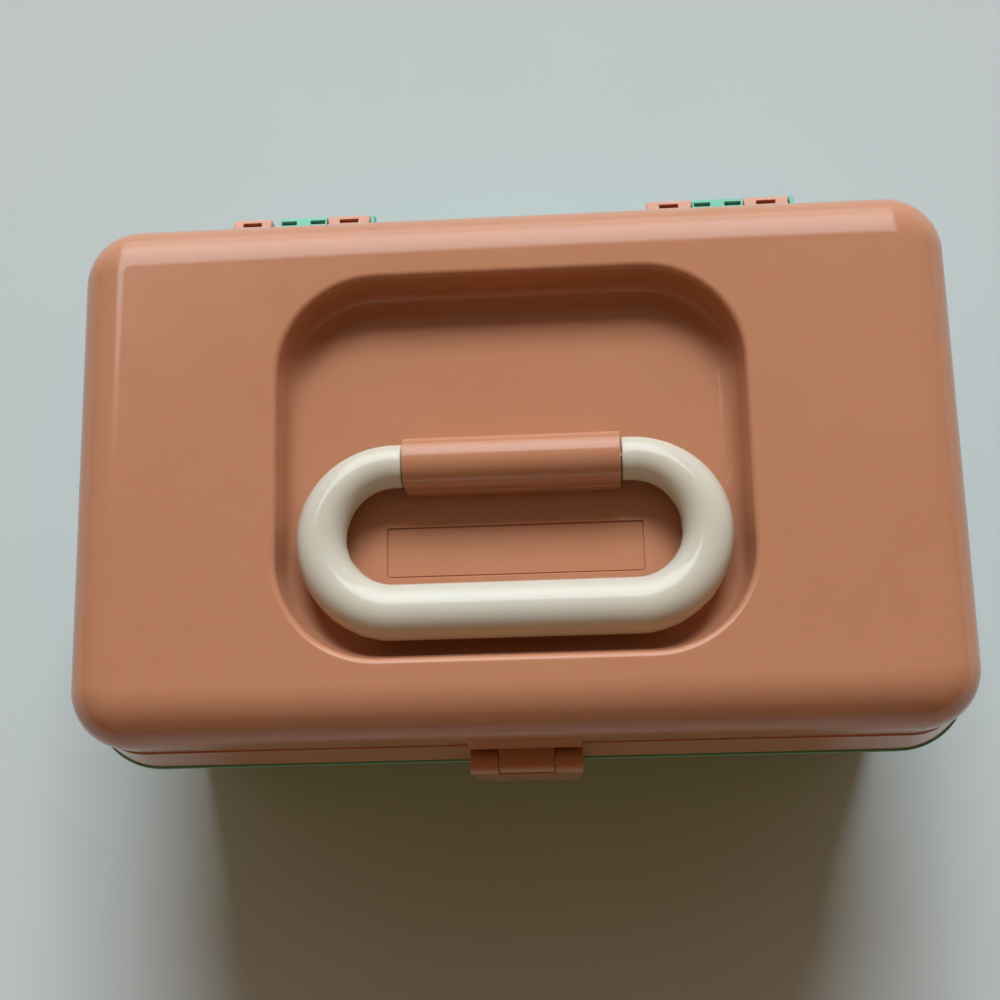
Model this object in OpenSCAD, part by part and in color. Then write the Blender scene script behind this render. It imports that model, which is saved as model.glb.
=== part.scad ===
// Storage case for make-up: a drafted tub, a domed lid with a carry handle lying in a
// recess, a front latch, two rear hinges, a mirror in the lid, and a tray on swing arms
// that rises as the lid opens. X is width, the front faces -Y, and Z = 0 is the table.

/* [Case] */
// Width of the case at the lid's shoulder
case_w = 262; // [240:1:300]
// Depth of the case at the lid's shoulder
case_d = 159.4; // [150:0.1:190]
// Plan radius of the case's corners at the shoulder
corner_r = 18; // [16:0.5:26]
// Height of the tub, up to the joint line with the lid
base_h = 84; // [76:1:110]
// Thickness of the tub's walls
base_wall = 2.5; // [2:0.1:3.5]
// Thickness of the tub's floor
base_floor = 2.6; // [2:0.1:4]
// Draft of the tub's walls, in degrees
base_draft = 3.9; // [2:0.1:5]
// Height of the tub's rounded foot edge
foot_round = 6; // [3:0.5:9]
// Thickness of the tub's rim flange
flange_t = 2.5; // [2:0.1:4]
// How far the flange stands out past the lid's rim
flange_proud = 0.7; // [0.4:0.1:1.5]
// How far the tub's wall is set in below the flange
flange_step = 1.5; // [1:0.1:3]
// Height of the locating lip that enters the lid
lip_h = 4; // [3:0.5:6]
// Thickness of the locating lip
lip_t = 2.2; // [1.6:0.1:2.4]

/* [Lid] */
// Height of the lid above the joint line
lid_h = 46.4; // [44:0.1:56]
// Height of the lid's flared skirt
skirt_h = 18.1; // [16:0.1:20]
// How far the skirt's lower edge stands out from the shoulder
skirt_flare = 3.8; // [3.2:0.1:5]
// Thickness of the lid's walls
lid_wall = 2.4; // [1.8:0.1:2.8]
// Draft of the lid's walls above the shoulder, in degrees
lid_draft = 2; // [1:0.1:3]
// Radius of the lid's rounded top edge
top_round = 15.7; // [13:0.1:17]
// Height and depth of the shadow groove under the shoulder
groove = 0.8; // [0.4:0.1:1.2]

/* [Handle recess] */
// Room between the handle's bends and the recess's rim
recess_side_room = 7.1; // [4:0.1:10]
// Room between the grip and the recess's front rim
recess_end_room = 7.3; // [6:0.1:10]
// Plan radius of the recess's corners
recess_corner = 31; // [22:0.5:36]
// Depth of the recess
recess_depth = 14.3; // [13:0.1:16]
// Radius of the recess's rounded rim
recess_rim = 2; // [1:0.1:3]
// Radius of the cove between the recess's wall and floor
recess_cove = 7; // [5:0.1:8]
// Width of the blank label panel
label_w = 75.6; // [50:0.1:80]
// Depth of the blank label panel, front to back
label_d = 15; // [10:0.1:16]
// How deep the label panel is sunk
label_sink = 0.5; // [0.3:0.1:0.8]
// Distance from the handle's axis to the label panel's centre
label_y = 24.1; // [22:0.1:26]

/* [Handle] */
// Overall width of the handle ring
handle_w = 126; // [116:1:136]
// Centre-line radius of the handle's bends
bend_r = 21.4; // [20:0.1:23]
// Diameter of the handle where it meets the housing
end_d = 12.6; // [11:0.1:14]
// Diameter of the handle at its bends
bend_d = 14.6; // [13:0.1:15.5]
// Diameter of the handle's grip
grip_d = 16; // [14:0.1:17]
// Length of the pivot housing
housing_w = 62.8; // [50:0.1:66]
// Radius of the pivot housing's rounded top
housing_r = 7.5; // [7:0.1:8]
// How far the housing's middle lies behind the rod
housing_back = 0.6; // [0:0.1:1]
// How far the housing's foot stands out on each side
housing_foot = 0.4; // [0.2:0.1:1]
// Diameter of the steel rod in the housing
rod_d = 4; // [3:0.1:5]
// How far the rod enters each end of the handle
rod_depth = 9; // [6:0.5:10]

/* [Latch] */
// Width of the latch
latch_w = 33; // [26:0.5:40]
// Sideways place of the latch's middle
latch_x = 1.2; // [-4:0.1:4]
// Height of the latch, from its pivot to its tip
latch_drop = 29; // [26:0.5:34]
// Radius of the latch's barrel
latch_barrel = 3.9; // [3.7:0.1:4.1]
// Thickness of the latch's face
latch_t = 2.4; // [2:0.1:2.6]
// Thickness of the latch's cheeks
latch_cheek = 4; // [3:0.1:6]
// How far the latch's tip stands out from the shoulder
latch_out = 10.4; // [10:0.1:12]
// Distance of the latch's pivot in front of the shoulder
latch_pivot_out = 4.9; // [4.7:0.1:5.5]
// Distance of the latch's pivot below the shoulder
latch_pivot_drop = 2.1; // [1.5:0.1:3]

/* [Hinges] */
// Distance of the hinge axis behind the shoulder
axis_out = 9.3; // [9:0.1:11]
// Height of the hinge axis above the joint line
axis_up = 1; // [0.5:0.1:1.5]
// Diameter of the hinge pins
pin_d = 2.5; // [2:0.1:3]
// Radius of the lid's hinge barrels
barrel_r = 3.6; // [3:0.1:3.8]
// How far the knuckles reach behind the hinge axis
knuckle_back = 5.4; // [4.5:0.1:6]
// How far the knuckles stand above the hinge axis
knuckle_up = 4; // [3.7:0.1:4.2]
// Place of the left hinge's left end
left_hinge_x = -92.1; // [-96:0.1:-80]
// Place of the right hinge's left end
right_hinge_x = 44.5; // [34:0.1:48]
// Thickness of the tub's end ears
ear_t = 1.2; // [1:0.1:2]

/* [Mirror] */
// Width of the mirror glass
mirror_w = 94; // [70:1:96]
// Depth of the mirror glass
mirror_d = 74; // [50:1:80]
// Thickness of the mirror glass
mirror_t = 2.5; // [2:0.1:3]
// Thickness of the foam pad behind the glass
pad_t = 1.3; // [1:0.1:2]
// Width of the mirror frame's two end bars
frame_end = 10.5; // [10:0.1:11]
// Width of the mirror frame's front and rear bars
frame_side = 5; // [3:0.1:6]
// How far the frame's lip covers the glass
frame_cover = 2; // [1.5:0.1:3]
// Thickness of the frame's lip
frame_lip = 1.8; // [1.5:0.1:2.2]

/* [Tray] */
// Height of the tray
tray_h = 26; // [22:0.5:32]
// How far the tray's edge lies below the joint line
tray_drop = 2; // [1:0.1:4]
// Thickness of the tray's walls
tray_wall = 1.8; // [1.5:0.1:2.4]
// Thickness of the tray's floor
tray_floor = 1.8; // [1.5:0.1:2.5]
// Plan radius of the tray's corners
tray_corner = 8; // [4:0.5:12]
// Room between the tray and the tub's front wall
tray_front_room = 3; // [2.5:0.1:6]
// How far the tray reaches behind its rear pivots
tray_tail = 20; // [14:0.5:22]
// Thickness of the loose dividers
divider_t = 1.6; // [1.2:0.1:2]
// Height of the loose dividers
divider_h = 20; // [14:0.5:21]

/* [Swing arms] */
// Distance of the tray's rear pivots in front of the hinge axis
link_y = 50; // [46:0.5:54]
// Distance of the tray's rear pivots below the hinge axis
link_z = 10; // [8:0.5:12]
// Distance between the tray's rear and front pivots
pivot_span = 90; // [80:1:94]
// How far the front pivots lie below the rear ones
pivot_fall = 8; // [5:0.5:9]
// Thickness of the steel arms and hangers
arm_t = 1.5; // [1.2:0.1:2]
// Width of the steel arms and hangers
arm_w = 10; // [8:0.5:11]
// Diameter of the rivets and studs
rivet_d = 4; // [3:0.1:4.5]

/* [Fits] */
// Radial clearance of a turning pin in its hole
pin_fit = 0.05; // [0.02:0.01:0.1]
// Gap between the lid's rim and the tub's flange
lid_gap = 0.2; // [0.1:0.05:0.4]
// Gap between moving faces that lie side by side
side_gap = 0.4; // [0.3:0.05:0.6]
// Gap between a loose piece and its seat
seat_gap = 0.2; // [0.1:0.05:0.3]

/* [Hidden] */

PEACH = "#DB9A74";
MINT = "#4FA58D";
CREAM = "#E9DDC6";
STEEL = "#B9BCC0";

$fn = 64;

// The case's outline and levels
half_w = case_w / 2;
half_d = case_d / 2;
lid_z = base_h + lid_gap;
shoulder_z = base_h + skirt_h;
top_z = base_h + lid_h;
flange_z = base_h - flange_t;
draft_slope = tan(base_draft);
rim_out = skirt_flare + flange_proud;
function base_inset(z) = flange_step + (flange_z - z) * draft_slope;

// The handle's recess and the handle in it
grip_y = 2 * bend_r;
recess_hw = handle_w / 2 + recess_side_room;
recess_hd = grip_y + grip_d / 2 + recess_end_room;
recess_z = top_z - recess_depth;
pan_z = recess_z - lid_wall;
handle_z = recess_z + grip_d / 2 + side_gap / 2;
handle_end_x = housing_w / 2 + side_gap;
foot_step = 4.5;
bend_x = handle_w / 2 - bend_d / 2 - bend_r;

// The hinge axis
axis_y = half_d + axis_out;
axis_z = base_h + axis_up;
knuckle_y = axis_y + knuckle_back;
knuckle_z = axis_z + knuckle_up;
notch_r = norm([knuckle_back, knuckle_up]) + side_gap;
slot_w = 1.4;
slot_skin = 1.2;
slot_rib = 4.7;
lid_slot = 6.1;
knuckle_root = 12;
knuckle_front = 0.8;
// Each hinge from left to right: lid knuckle, gap, tub knuckle, gap, lid knuckle, gap, ear
LEFT_HINGE = [12.7, 2.9, 15.7, side_gap, 13.8];
RIGHT_HINGE = [14.5, side_gap, 16.3, side_gap, 14.3];

// The latch's pivot
latch_y = -(half_d + latch_pivot_out);
latch_z = shoulder_z - latch_pivot_drop;
latch_tip_y = -(half_d + latch_out);
latch_tip_z = latch_z - latch_drop;
catch_y = -(half_d + rim_out);
lug_w = 16;
lug_r = 2.5;
// The boss above the latch, and the catch behind it
boss_gap = 0.9;
boss_h = 20.5;
boss_out = 1.6;
boss_edge = 1;
catch_h = 4;
catch_face = catch_y - seat_gap;

// The tray and what carries it
tray_z = base_h - tray_drop - tray_h;
arm_room = 1.6;
boss_room = 3.4;
tray_hw = half_w - base_inset(tray_z) - base_wall - arm_room - arm_t - boss_room;
tray_front = -(half_d - base_inset(tray_z) - base_wall - tray_front_room);
rear_pivot = [axis_y - link_y, axis_z - link_z];
front_pivot = rear_pivot - [pivot_span, pivot_fall];
base_pivot = front_pivot + [link_y, link_z];
tray_rear = rear_pivot[0] + tray_tail;
tray_mid = (tray_front + tray_rear) / 2;
tray_hd = (tray_rear - tray_front) / 2;
arm_x = tray_hw + arm_room;
rivet_head = rivet_d / 2 + 1.6;
collar_r = rivet_d / 2 + 1.2;
stud_boss_r = rivet_d / 2 + 2.8;
head_t = 1.1;
head_gap = 0.1;
hanger_low = shoulder_z;
hanger_rivet_r = 1.5;
hanger_rivet_in = 3;
hanger_rivet_gap = 5;
hanger_holes = [hanger_low + hanger_rivet_in, hanger_low + hanger_rivet_in + hanger_rivet_gap];
hanger_top = hanger_holes[1] + hanger_rivet_in;

// The mirror under the recess's floor
frame_hw = mirror_w / 2 + frame_end;
frame_hd = mirror_d / 2 + frame_side;
frame_z = pan_z - pad_t - mirror_t - frame_lip;
screw_x = mirror_w / 2 + frame_end / 2;
screw_in = 8;
screw_y = mirror_d / 2 - screw_in;
glass_corner = 4;
frame_corner = 2 * glass_corner;
screw_r = 1;
screw_boss_r = 2.6;
screw_boss_h = 3;
screw_head = 1.2;

// Points of an arc in a profile, from one angle to another
function arc(cx, cz, r, a0, a1, n) =
    [for (i = [0:n]) let (a = a0 + (a1 - a0) * i / n) [cx + r * cos(a), cz + r * sin(a)]];

// A block with rounded corners, whose side follows a profile of [inset, height] points
module round_block(profile, hw, hd, r) {
    n = len(profile);
    side = [for (p = profile) [r - p[0], p[1]]];
    wedge = concat([[0, profile[0][1]]], side, [[0, profile[n - 1][1]]]);
    band = concat(
        [for (p = profile) [hd - p[0], p[1]]],
        [for (i = [n - 1:-1:0]) [profile[i][0] - hd, profile[i][1]]]
    );
    rotate([90, 0, 90]) linear_extrude(2 * (hw - r), center = true) polygon(band);
    for (s = [0, 180])
        rotate([0, 0, s]) translate([hw - r, 0, 0])
            rotate([90, 0, 0]) linear_extrude(2 * (hd - r), center = true) polygon(wedge);
    for (s = [0, 180]) {
        rotate([0, 0, s]) translate([hw - r, hd - r, 0])
            rotate_extrude(angle = 90) polygon(wedge);
        rotate([0, 0, s]) translate([hw - r, r - hd, 0])
            rotate([0, 0, -90]) rotate_extrude(angle = 90) polygon(wedge);
    }
}

// A plate with rounded corners, standing on z
module round_plate(hw, hd, r, z, h) {
    translate([0, 0, z]) linear_extrude(h) {
        square([2 * hw, 2 * (hd - r)], center = true);
        square([2 * (hw - r), 2 * hd], center = true);
        for (x = [-1, 1], y = [-1, 1])
            translate([x * (hw - r), y * (hd - r)]) circle(r);
    }
}

// A cylinder along X, from x0 to x1, about the point p = [y, z]
module x_bar(p, r, x0, x1) {
    translate([x0, p[0], p[1]]) rotate([0, 90, 0]) cylinder(r = r, h = x1 - x0);
}

// A section in Y and Z, drawn along X from x0 to x1
module x_prism(points, x0, x1) {
    translate([x0, 0, 0]) rotate([90, 0, 90]) linear_extrude(x1 - x0) polygon(points);
}

// Mirrors its children from the right side to the left as well
module both_sides() {
    children();
    mirror([1, 0, 0]) children();
}

// A strap of the arms' width and thickness between two points [y, z], with round ends
module strap(p, q) {
    run = q - p;
    translate([arm_x, p[0], p[1]]) rotate([atan2(run[1], run[0]), 0, 0])
        rotate([90, 0, 90]) linear_extrude(arm_t) {
            translate([0, -arm_w / 2]) square([norm(run), arm_w]);
            circle(arm_w / 2);
            translate([norm(run), 0]) circle(arm_w / 2);
        }
}

// ---- The tub ----

// The middle of the tub's side wall at height z
function wall_mid(z) = half_w - base_inset(z) - base_wall / 2;
stud_end = wall_mid(base_pivot[1]) - 0.8;

// The tub's wall profile, set in by skin, from its floor to its flange
function tub_wall(skin, low) = let (
    r = foot_round - skin / 2,
    foot = base_inset(foot_round) + skin
) concat(
    [for (p = arc(0, 0, r, 270, 180, 5)) [foot + r + p[0], low + r + p[1]]],
    [[flange_step + skin, flange_z]]
);

module tub_outside() {
    round_block(concat(tub_wall(0, 0), [[-rim_out, flange_z], [-rim_out, base_h]]),
        half_w, half_d, corner_r);
}

module tub_inside() {
    round_block(concat(tub_wall(base_wall, base_floor), [[flange_step + base_wall, base_h + 1]]),
        half_w, half_d, corner_r);
}

module tub_lip() {
    difference() {
        round_block([[0, base_h - 1], [0, base_h + lip_h - 0.6], [0.6, base_h + lip_h]],
            half_w, half_d, corner_r);
        round_block([[lip_t, base_h - 2], [lip_t, base_h + lip_h + 1]],
            half_w, half_d, corner_r);
    }
}

// Starts of a hinge's tub knuckle, its second lid knuckle and its ear
function tub_knuckle_x(x, h) = x + h[0] + h[1];
function second_lid_x(x, h) = tub_knuckle_x(x, h) + h[2] + h[3];
function ear_x(x, h) = second_lid_x(x, h) + h[4] + side_gap;

// A knuckle or an ear of the tub from x0 to x1, rooted in its rear wall
module tub_knuckle(x0, x1) {
    low = flange_z - knuckle_root;
    wall = half_d - base_inset(low);
    front = axis_y - barrel_r - knuckle_front;
    top = base_h - flange_t / 2;
    x_prism([
        [wall - base_wall / 2, low], [wall, low],
        [knuckle_y, axis_z - knuckle_up], [knuckle_y, knuckle_z],
        [front, knuckle_z], [front, top], [wall - base_wall / 2, top]
    ], x0, x1);
}

// A narrow slot down into a knuckle, behind its skin
module knuckle_slot(x, w) {
    translate([x, knuckle_y - slot_skin - slot_w, axis_z - knuckle_root])
        cube([w, slot_w, knuckle_root + knuckle_up + 1]);
}

module tub_hinge(x, h) {
    k = tub_knuckle_x(x, h);
    slot = (h[2] - slot_rib) / 2 - slot_skin / 2;
    difference() {
        union() {
            tub_knuckle(k, k + h[2]);
            tub_knuckle(ear_x(x, h), ear_x(x, h) + ear_t);
        }
        x_bar([axis_y, axis_z], pin_d / 2 + pin_fit, k - 1, ear_x(x, h) + ear_t + 1);
        knuckle_slot(k + slot_skin / 2, slot);
        knuckle_slot(k + h[2] - slot_skin / 2 - slot, slot);
    }
}

module base_tub() {
    color(MINT) {
        difference() {
            union() {
                difference() {
                    tub_outside();
                    tub_inside();
                }
                // Bosses for the swing arms' studs
                both_sides() x_bar(base_pivot, stud_boss_r, arm_x + arm_t + head_gap,
                    wall_mid(base_pivot[1]));
            }
            both_sides() x_bar(base_pivot, rivet_d / 2, arm_x, stud_end);
        }
        tub_lip();
        tub_hinge(left_hinge_x, LEFT_HINGE);
        tub_hinge(right_hinge_x, RIGHT_HINGE);
        // The catch that the latch's ridge snaps past
        translate([latch_x - lug_w / 2, catch_y, flange_z - catch_h])
            cube([lug_w, rim_out + base_inset(flange_z) + base_wall / 2, catch_h + flange_t / 2]);
    }
}

module base_pivot_studs() {
    color(STEEL) both_sides() {
        x_bar(base_pivot, rivet_d / 2, arm_x - head_gap, stud_end);
        x_bar(base_pivot, collar_r, arm_x - head_gap - head_t, arm_x - head_gap);
    }
}

module hinge_pin(x, h) {
    color(STEEL) x_bar([axis_y, axis_z], pin_d / 2, x + 0.3, ear_x(x, h) + ear_t);
}
module hinge_pin_left() hinge_pin(left_hinge_x, LEFT_HINGE);
module hinge_pin_right() hinge_pin(right_hinge_x, RIGHT_HINGE);

// ---- The lid ----

wall_top_z = top_z - top_round;
lid_inset = (wall_top_z - shoulder_z) * tan(lid_draft);
// How far the lid's outer face is set in at height z above the shoulder
function lid_face(z) = z < wall_top_z
    ? (z - shoulder_z) * tan(lid_draft)
    : lid_inset + top_round - sqrt(pow(top_round, 2) - pow(z - wall_top_z, 2));

module lid_outside() {
    ledge_z = shoulder_z - 1.4 * groove;
    round_block(concat(
        [[-skirt_flare, lid_z], [-0.5, ledge_z]],
        [[groove, ledge_z + 0.3 * groove], [groove, shoulder_z - 0.2], [0, shoulder_z]],
        arc(lid_inset + top_round, wall_top_z, top_round, 180, 90, 10)
    ), half_w, half_d, corner_r);
}

module lid_inside() {
    round_block(concat(
        [[lid_wall - skirt_flare, lid_z - 1], [lid_wall + 0.4, shoulder_z - 1.4 * groove]],
        arc(lid_inset + top_round, wall_top_z, top_round - lid_wall, 180, 90, 8)
    ), half_w, half_d, corner_r);
}

// The recess's profile: a cove at its floor, a leaning wall and a rounded rim
recess_lean = 1;
module recess_cut() {
    wall = recess_rim + recess_lean;
    round_block(concat(
        arc(wall + recess_cove, recess_z + recess_cove, recess_cove, 270, 180, 6),
        arc(0, top_z - recess_rim, recess_rim, 0, 90, 4),
        [[0, top_z + 1]]
    ), recess_hw, recess_hd, recess_corner);
}

// The same recess as it shows on the lid's underside
module recess_pan() {
    wall = recess_rim + recess_lean;
    round_block(concat(
        arc(wall + recess_cove, recess_z + recess_cove, recess_cove + lid_wall, 270, 180, 6),
        [[recess_rim - lid_wall, top_z + 1]]
    ), recess_hw, recess_hd, recess_corner);
}

housing_root = 1;
module pivot_housing() {
    low = recess_z - housing_root;
    translate([0, housing_back, 0]) {
        x_bar([0, handle_z], housing_r, -housing_w / 2, housing_w / 2);
        for (part = [[housing_r, handle_z], [housing_r + housing_foot, recess_z + foot_step]])
            translate([-housing_w / 2, -part[0], low])
                cube([housing_w, 2 * part[0], part[1] - low]);
    }
}

// The boss and the lug that carry the latch on the lid's front wall
module latch_mount() {
    low = latch_z + latch_barrel + boss_gap;
    high = shoulder_z + boss_h;
    root = half_d - lid_wall / 2;
    x_prism([
        [-root, low], [-half_d - boss_out, low], [-half_d - boss_out, low + boss_edge],
        [lid_face(high) - half_d, high], [lid_face(high) + lid_wall / 2 - half_d, high]
    ], latch_x - latch_w / 2, latch_x + latch_w / 2);
    x_bar([latch_y, latch_z], lug_r, latch_x - lug_w / 2, latch_x + lug_w / 2);
    translate([latch_x - lug_w / 2, latch_y, latch_z - lug_r])
        cube([lug_w, -root - latch_y, lug_r]);
}

module lid_knuckle(x, w) {
    x_bar([axis_y, axis_z], barrel_r, x, x + w);
    root = half_d + skirt_flare - lid_wall * 3 / 4;
    translate([x, root, lid_z]) cube([w, knuckle_y - root, knuckle_z - lid_z]);
}

module lid_hinge(x, h) {
    pairs = [[x, h[0]], [second_lid_x(x, h), h[4]]];
    for (p = pairs) difference() {
        lid_knuckle(p[0], p[1]);
        x_bar([axis_y, axis_z], pin_d / 2 + pin_fit, p[0] - 1, p[0] + p[1] + 1);
        knuckle_slot(p[0] + (p[1] - lid_slot) / 2, lid_slot);
    }
}

// Room in the skirt for one of the tub's knuckles or ears as the lid turns
module hinge_notch(x, w) {
    x_bar([axis_y, axis_z], notch_r, x - side_gap / 2, x + w + side_gap / 2);
}

module lid_shell() {
    color(PEACH) {
        difference() {
            union() {
                difference() {
                    lid_outside();
                    difference() {
                        lid_inside();
                        recess_pan();
                    }
                    recess_cut();
                    translate([-label_w / 2, -label_y - label_d / 2, recess_z - label_sink])
                        cube([label_w, label_d, 2]);
                }
                pivot_housing();
                latch_mount();
                both_sides() translate([arm_x + arm_t, rear_pivot[0] - arm_w / 2 - 1, hanger_low])
                    cube([half_w - 1.4 - arm_x - arm_t, arm_w + 2, hanger_top - hanger_low + 1]);
                for (x = [-1, 1], y = [-1, 1])
                    translate([x * screw_x, y * screw_y, pan_z - screw_boss_h])
                        cylinder(r = screw_boss_r, h = screw_boss_h + 0.5);
            }
            x_bar([0, handle_z], rod_d / 2 + pin_fit, -housing_w / 2 - 1, housing_w / 2 + 1);
            x_bar([latch_y, latch_z], pin_d / 2 + pin_fit, latch_x - latch_w, latch_x + latch_w);
            for (h = [[left_hinge_x, LEFT_HINGE], [right_hinge_x, RIGHT_HINGE]]) {
                hinge_notch(tub_knuckle_x(h[0], h[1]), h[1][2]);
                hinge_notch(ear_x(h[0], h[1]), ear_t);
            }
            for (x = [-1, 1], y = [-1, 1])
                translate([x * screw_x, y * screw_y, pan_z - screw_boss_h - 1])
                    cylinder(r = screw_r, h = screw_boss_h + 1.8);
            both_sides() for (z = hanger_holes)
                x_bar([rear_pivot[0], z], hanger_rivet_r, arm_x, half_w - 2.6);
        }
        lid_hinge(left_hinge_x, LEFT_HINGE);
        lid_hinge(right_hinge_x, RIGHT_HINGE);
    }
}

module tray_hanger() {
    color(STEEL) difference() {
        strap(rear_pivot, [rear_pivot[0], hanger_top - arm_w / 2]);
        x_bar(rear_pivot, rivet_d / 2 + pin_fit, arm_x - 1, arm_x + arm_t + 1);
        for (z = hanger_holes)
            x_bar([rear_pivot[0], z], hanger_rivet_r, arm_x - 1, arm_x + arm_t + 1);
    }
}
module tray_hanger_right() tray_hanger();
module tray_hanger_left() mirror([1, 0, 0]) tray_hanger();

module hanger_rivets() {
    color(STEEL) both_sides() for (z = hanger_holes) {
        x_bar([rear_pivot[0], z], hanger_rivet_r, arm_x, half_w - 2.8);
        x_bar([rear_pivot[0], z], hanger_rivet_r + 1, arm_x - 0.8, arm_x);
    }
}

module mirror_frame() {
    color(PEACH) difference() {
        round_plate(frame_hw, frame_hd, frame_corner, frame_z, pan_z - frame_z);
        round_plate(mirror_w / 2 + seat_gap, mirror_d / 2 + seat_gap, glass_corner + seat_gap,
            frame_z + frame_lip, pan_z - frame_z);
        round_plate(mirror_w / 2 - frame_cover, mirror_d / 2 - frame_cover,
            glass_corner - frame_cover / 2, frame_z - 1, pan_z - frame_z);
        for (x = [-1, 1], y = [-1, 1]) translate([x * screw_x, y * screw_y, 0]) {
            translate([0, 0, pan_z - screw_boss_h - seat_gap])
                cylinder(r = screw_boss_r + seat_gap, h = screw_boss_h + 1);
            translate([0, 0, frame_z - 1]) cylinder(r = screw_r + 0.3, h = 6);
            translate([0, 0, frame_z - 1]) cylinder(r = screw_r + 1.4, h = 1 + screw_head);
        }
    }
}

module mirror_glass() {
    color("#C9D3D6")
        round_plate(mirror_w / 2, mirror_d / 2, glass_corner, frame_z + frame_lip, mirror_t);
}

module mirror_pad() {
    color("#F2F0EA")
        round_plate(mirror_w / 2 - frame_cover, mirror_d / 2 - frame_cover,
            glass_corner - frame_cover / 2, pan_z - pad_t, pad_t);
}

module mirror_screws() {
    color(STEEL) for (x = [-1, 1], y = [-1, 1])
        translate([x * screw_x, y * screw_y, frame_z + 0.1]) difference() {
            union() {
                cylinder(r = screw_r + 1.1, h = screw_head - 0.1);
                cylinder(r = screw_r, h = pan_z - frame_z);
            }
            for (a = [0, 90]) rotate([0, 0, a])
                translate([-1.2, -0.25, -0.5]) cube([2.4, 0.5, 1]);
        }
}

// ---- The handle ----

// Half of the handle's centre line from the right end to the middle of the grip,
// as [x, y, direction, diameter]
bend_steps = 16;
function bend_size(a) = a < 90
    ? end_d + (bend_d - end_d) * (1 - cos(2 * a)) / 2
    : bend_d + (grip_d - bend_d) * (1 - cos(2 * (a - 90))) / 2;
HALF_RING = concat(
    [[handle_end_x, 0, 0, end_d]],
    [for (i = [0:bend_steps]) let (a = 180 * i / bend_steps)
        [bend_x + bend_r * sin(a), bend_r * (cos(a) - 1), a, bend_size(a)]]
);
RING = concat(
    HALF_RING,
    [for (i = [len(HALF_RING) - 1:-1:0]) let (p = HALF_RING[i]) [-p[0], p[1], 360 - p[2], p[3]]]
);
ring_sides = 32;

module ring_tube() {
    n = len(RING);
    points = [for (p = RING) for (k = [0:ring_sides - 1])
        let (b = 360 * k / ring_sides, r = p[3] / 2 * cos(b))
            [p[0] + r * sin(p[2]), p[1] + r * cos(p[2]), handle_z + p[3] / 2 * sin(b)]];
    last = (n - 1) * ring_sides;
    faces = concat(
        [[for (k = [ring_sides - 1:-1:0]) k]],
        [for (i = [0:n - 2]) for (k = [0:ring_sides - 1])
            let (m = (k + 1) % ring_sides, a = i * ring_sides, b = a + ring_sides)
                each [[a + k, a + m, b + m], [a + k, b + m, b + k]]],
        [[for (k = [0:ring_sides - 1]) last + k]]
    );
    polyhedron(points, faces);
}

module carry_handle() {
    color(CREAM) difference() {
        ring_tube();
        both_sides() x_bar([0, handle_z], rod_d / 2, handle_end_x - 1, handle_end_x + rod_depth);
    }
}

module handle_rod() {
    color(STEEL)
        x_bar([0, handle_z], rod_d / 2, -handle_end_x - rod_depth, handle_end_x + rod_depth);
}

// ---- The latch ----

// The latch's sides: its tip's bevel, the ridge behind its face, and its cheeks
tip_bevel = [1, 1.2];
tip_flat = 4;
ridge_low = 5;
ridge_top = 0.6;
ridge_rise = 1.4;
cheek_room = 0.6;
module latch_side() {
    x0 = latch_x - latch_w / 2;
    x1 = latch_x + latch_w / 2;
    face = latch_tip_y + latch_t;
    top_y = latch_y - latch_barrel;
    x_bar([latch_y, latch_z], latch_barrel, x0, x1);
    x_prism([
        [top_y, latch_z], [latch_tip_y, latch_tip_z + tip_flat],
        [latch_tip_y, latch_tip_z + tip_bevel[1]], [latch_tip_y + tip_bevel[0], latch_tip_z],
        [face, latch_tip_z], [face, flange_z - ridge_low],
        [catch_face, flange_z - ridge_low + ridge_rise],
        [catch_face, flange_z - ridge_top - ridge_rise],
        [face, flange_z - ridge_top], [top_y + latch_t, latch_z]
    ], x0, x1);
    for (x = [x0, x1 - latch_cheek]) x_prism([
        [face - latch_t / 4, latch_tip_z + tip_bevel[1]],
        [catch_y - cheek_room, latch_tip_z + tip_flat],
        [catch_y - cheek_room, base_h + latch_t],
        [latch_y + latch_barrel / 2, latch_z - latch_barrel],
        [latch_y, latch_z], [top_y + latch_t / 4, latch_z]
    ], x, x + latch_cheek);
}

// The latch's plan, with its front corners rounded
latch_corner = 2.5;
module latch_plan() {
    back = latch_y + latch_barrel;
    front = latch_tip_y + latch_corner;
    translate([-latch_w / 2, front]) square([latch_w, back - front]);
    translate([latch_corner - latch_w / 2, latch_tip_y])
        square([latch_w - 2 * latch_corner, back - latch_tip_y]);
    for (x = [-1, 1]) translate([x * (latch_w / 2 - latch_corner), front]) circle(latch_corner);
}

module latch() {
    room = lug_r + side_gap;
    room_w = lug_w + 2 * side_gap;
    color(PEACH) difference() {
        intersection() {
            latch_side();
            translate([latch_x, 0, latch_tip_z - 1])
                linear_extrude(latch_drop + latch_barrel + 2) latch_plan();
        }
        x_bar([latch_y, latch_z], pin_d / 2 + pin_fit, latch_x - latch_w, latch_x + latch_w);
        x_bar([latch_y, latch_z], room, latch_x - room_w / 2, latch_x + room_w / 2);
        translate([latch_x - room_w / 2, latch_y, latch_z - room])
            cube([room_w, latch_barrel + 1, room + latch_barrel + 1]);
    }
}

module latch_pin() {
    color(STEEL) x_bar([latch_y, latch_z], pin_d / 2,
        latch_x - latch_w / 2 + side_gap, latch_x + latch_w / 2 - side_gap);
}

// ---- The tray and its arms ----

row_d = 30;
rib_w = 1.5;
rib_h = 1;

// The row's wall stays behind the heads of the front rivets
row_y = max(tray_front + row_d, front_pivot[0] + rivet_head + 2 * head_gap);
divider_y0 = row_y + tray_wall;
divider_y1 = tray_rear - tray_wall;
divider_pitch = tray_hw / 2;

// The height of the low wall behind the tray's front row
row_h = tray_h - 5;

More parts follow.
